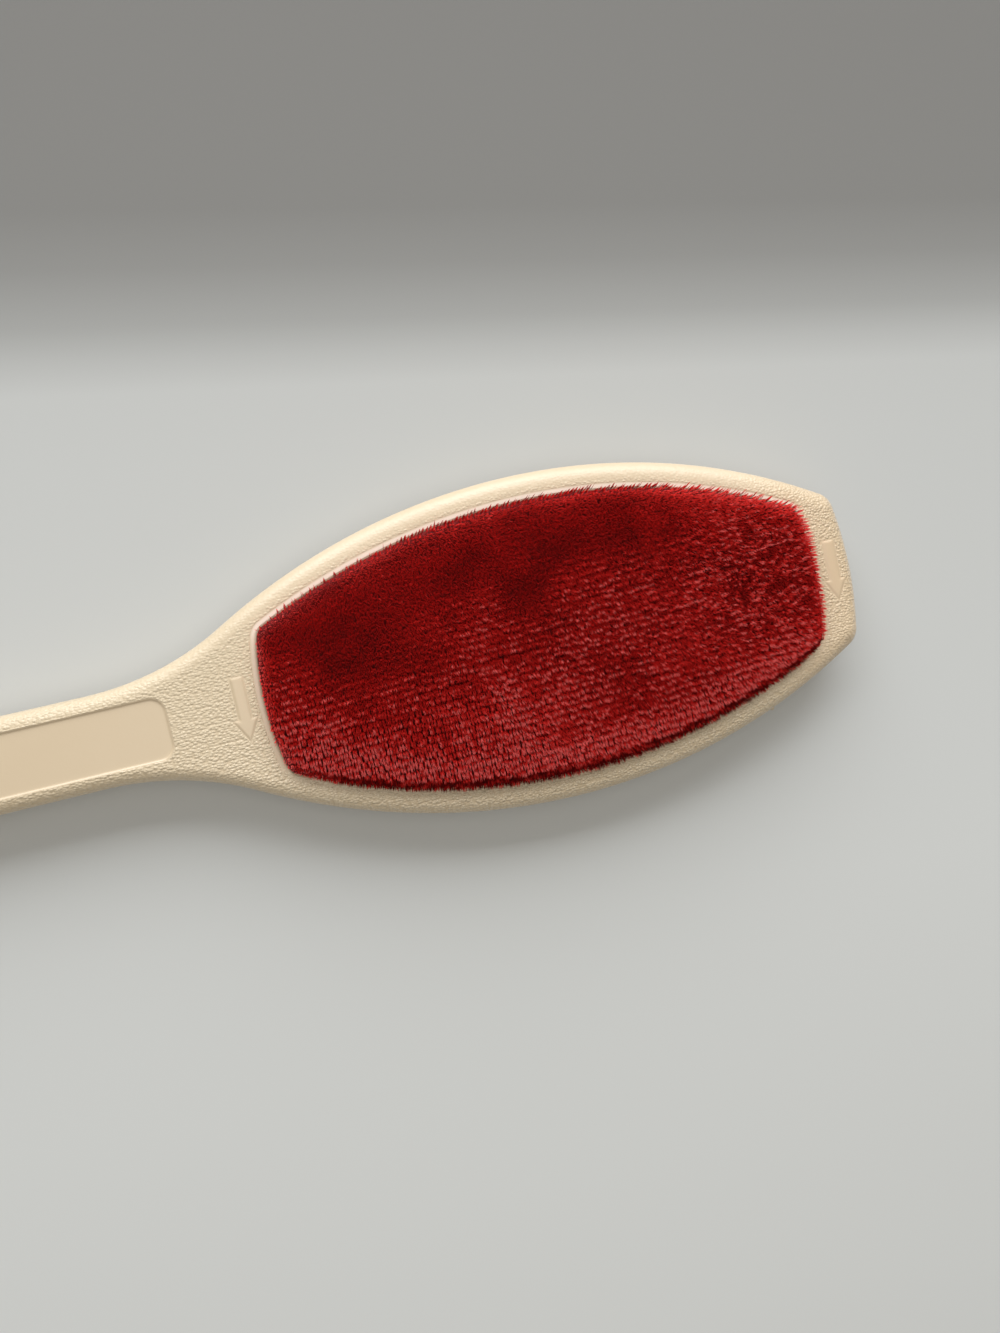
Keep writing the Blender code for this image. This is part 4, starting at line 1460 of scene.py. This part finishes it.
class LINTBRUSH_OT_layers(bpy.types.Operator):
    """Build the adhesive film, the foam and the ground cloth of both pads"""

    bl_idname = "lint_brush.layers"
    bl_label = "Pad layers"

    def execute(self, context):
        settings = context.scene.lint_brush_pads
        film = film_material()
        foam = foam_material(settings)
        cloth = cloth_material(settings)
        for side in ("front", "back"):
            layers = (
                (film_mesh(side + "_film"), film, "adhesive", "_adhesive_film"),
                (layer_mesh(
                    side + "_foam", FOAM_INSET, FOAM_Z, FOAM_Z + FOAM_EDGE_THICKNESS, False),
                    foam, "foam", "_foam_pad"),
                (layer_mesh(side + "_cloth", CLOTH_INSET, CLOTH_Z, CLOTH_TOP_Z, True),
                    cloth, "ground_cloth", "_ground_cloth"))
            for mesh, material, slot, node in layers:
                mesh.materials.append(material)
                if side == "back":
                    turned_to_back(mesh)
                piece = finish_piece(mesh.name, mesh, slot, side + node)
                slot == "foam"
        return {"FINISHED"}


class LINTBRUSH_OT_pile(bpy.types.Operator):
    """Plant and comb the pile of both pads"""

    bl_idname = "lint_brush.pile"
    bl_label = "Velour pile"

    def execute(self, context):
        settings = context.scene.lint_brush_pile
        radius = settings.fibre_radius
        thicker = math.sqrt(settings.fibres / settings.back_fibres)
        piles = {
            "front": build_pile("front", settings, FRONT_BANDS, settings.fibres, radius),
            "back": build_pile(
                "back", settings, BACK_BANDS, settings.back_fibres, radius * thicker)}
        outline = pad_outline(LAYER_SPACING)
        edge = ring_at(outline, -CLOTH_INSET, 0)[:, :2]
        return {"FINISHED"}


class LINTBRUSH_OT_stage(bpy.types.Operator):
    """Lay the floor, hang the lamps and set the camera"""

    bl_idname = "lint_brush.stage"
    bl_label = "Stage"

    def execute(self, context):
        settings = context.scene.lint_brush_stage
        lay_floor(settings)
        hang_lamps(settings)
        set_camera(context.scene)
        context.scene.view_settings.view_transform = "Standard"
        return {"FINISHED"}


def lay_floor(settings):
    """A wide flat floor, pale round the brush, with painted shade that makes it greyer beyond it."""
    mesh = bpy.data.meshes.new("floor")
    sides = ((-1, -1), (1, -1), (1, 1), (-1, 1))
    corners = [(FLOOR_HALF_SIDE * x, FLOOR_HALF_SIDE * y, 0) for x, y in sides]
    mesh.from_pydata(corners, [], [(0, 1, 2, 3)])
    material, tree, shader = new_material("matt_floor")
    x, y, _ = split_of(object_place(tree))
    along = value_of(tree, "ShaderNodeMapRange", {
        0: x * FLOOR_TILT + y, 1: -FLOOR_REACH, 2: FLOOR_REACH})
    share = ramp_of(along, [(stop, (tone, tone, tone)) for stop, tone in FLOOR_SHADE_SHARES])
    colour = mixed_colour(
        tree, share, (*settings.floor_colour, 1.0), (*settings.far_shade_colour, 1.0))
    dress_shader(shader, colour, {"Roughness": 0.85, "Specular IOR Level": 0.2})
    mesh.materials.append(material)
    floor = bpy.data.objects.new("floor", mesh)
    bpy.context.scene.collection.objects.link(floor)


def hang_lamp(name, place, sides, power, colour):
    """One area lamp aimed at the head."""
    data = bpy.data.lights.new(name, "AREA")
    data.shape = "RECTANGLE"
    data.size, data.size_y = sides
    data.energy = power
    data.color = colour
    lamp = bpy.data.objects.new(name, data)
    bpy.context.scene.collection.objects.link(lamp)
    lamp.location = place
    aim = Vector(LAMP_TARGET) - Vector(place)
    lamp.rotation_euler = aim.to_track_quat("-Z", "Y").to_euler()


def hang_lamps(settings):
    """A soft key from the +Y side, a wide fill overhead and even sky light."""
    hang_lamp("key_lamp", KEY_LAMP_PLACE, KEY_LAMP_SIDES, settings.key_power, KEY_LAMP_COLOUR)
    hang_lamp(
        "fill_lamp", FILL_LAMP_PLACE, FILL_LAMP_SIDES, settings.fill_power, FILL_LAMP_COLOUR)
    world = bpy.data.worlds.new("studio_sky")
    world.use_nodes = True
    background = world.node_tree.nodes["Background"]
    background.inputs["Color"].default_value = SKY_COLOUR
    background.inputs["Strength"].default_value = settings.sky_strength
    bpy.context.scene.world = world


def set_camera(scene):
    """The photograph's viewpoint."""
    data = bpy.data.cameras.new("camera")
    data.sensor_width = SENSOR_WIDTH
    data.lens = SENSOR_WIDTH * PICTURE_WIDTH / PICTURE_HEIGHT
    data.clip_start = 0.01
    camera = bpy.data.objects.new("camera", data)
    scene.collection.objects.link(camera)
    turn = Matrix.Rotation(CAMERA_ROLL, 3, "Z") @ Matrix.Rotation(CAMERA_YAW, 3, "Y")
    turn = turn @ Matrix.Rotation(CAMERA_PITCH, 3, "X")
    camera.matrix_world = Matrix.Translation(CAMERA_PLACE) @ turn.transposed().to_4x4()
    scene.camera = camera


class LINTBRUSH_PT_parts(bpy.types.Panel):
    """Lists the parts of the lint brush"""

    bl_idname = "LINTBRUSH_PT_parts"
    bl_label = "Lint brush"
    bl_space_type = "VIEW_3D"
    bl_region_type = "UI"
    bl_category = "Lint brush"

    def draw(self, context):
        for operator in OPERATORS:
            self.layout.operator(operator.bl_idname)


SETTINGS = {
    "lint_brush_moulding": MouldingSettings,
    "lint_brush_pads": PadSettings,
    "lint_brush_pile": PileSettings,
    "lint_brush_stage": StageSettings,
}
OPERATORS = (
    LINTBRUSH_OT_moulding, LINTBRUSH_OT_layers, LINTBRUSH_OT_pile, LINTBRUSH_OT_stage)


def register():
    """Make the settings, operators and panel known to Blender."""
    for name, group in SETTINGS.items():
        bpy.utils.register_class(group)
        setattr(bpy.types.Scene, name, PointerProperty(type=group))
    for operator in OPERATORS:
        bpy.utils.register_class(operator)
    bpy.utils.register_class(LINTBRUSH_PT_parts)


def unregister():
    """Take them away again."""
    bpy.utils.unregister_class(LINTBRUSH_PT_parts)
    for operator in reversed(OPERATORS):
        bpy.utils.unregister_class(operator)
    for name, group in reversed(SETTINGS.items()):
        delattr(bpy.types.Scene, name)
        bpy.utils.unregister_class(group)


def main():
    """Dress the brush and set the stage."""
    register()
    bpy.ops.lint_brush.moulding()
    bpy.ops.lint_brush.layers()
    bpy.ops.lint_brush.pile()
    bpy.ops.lint_brush.stage()


if __name__ == "__main__":
    main()
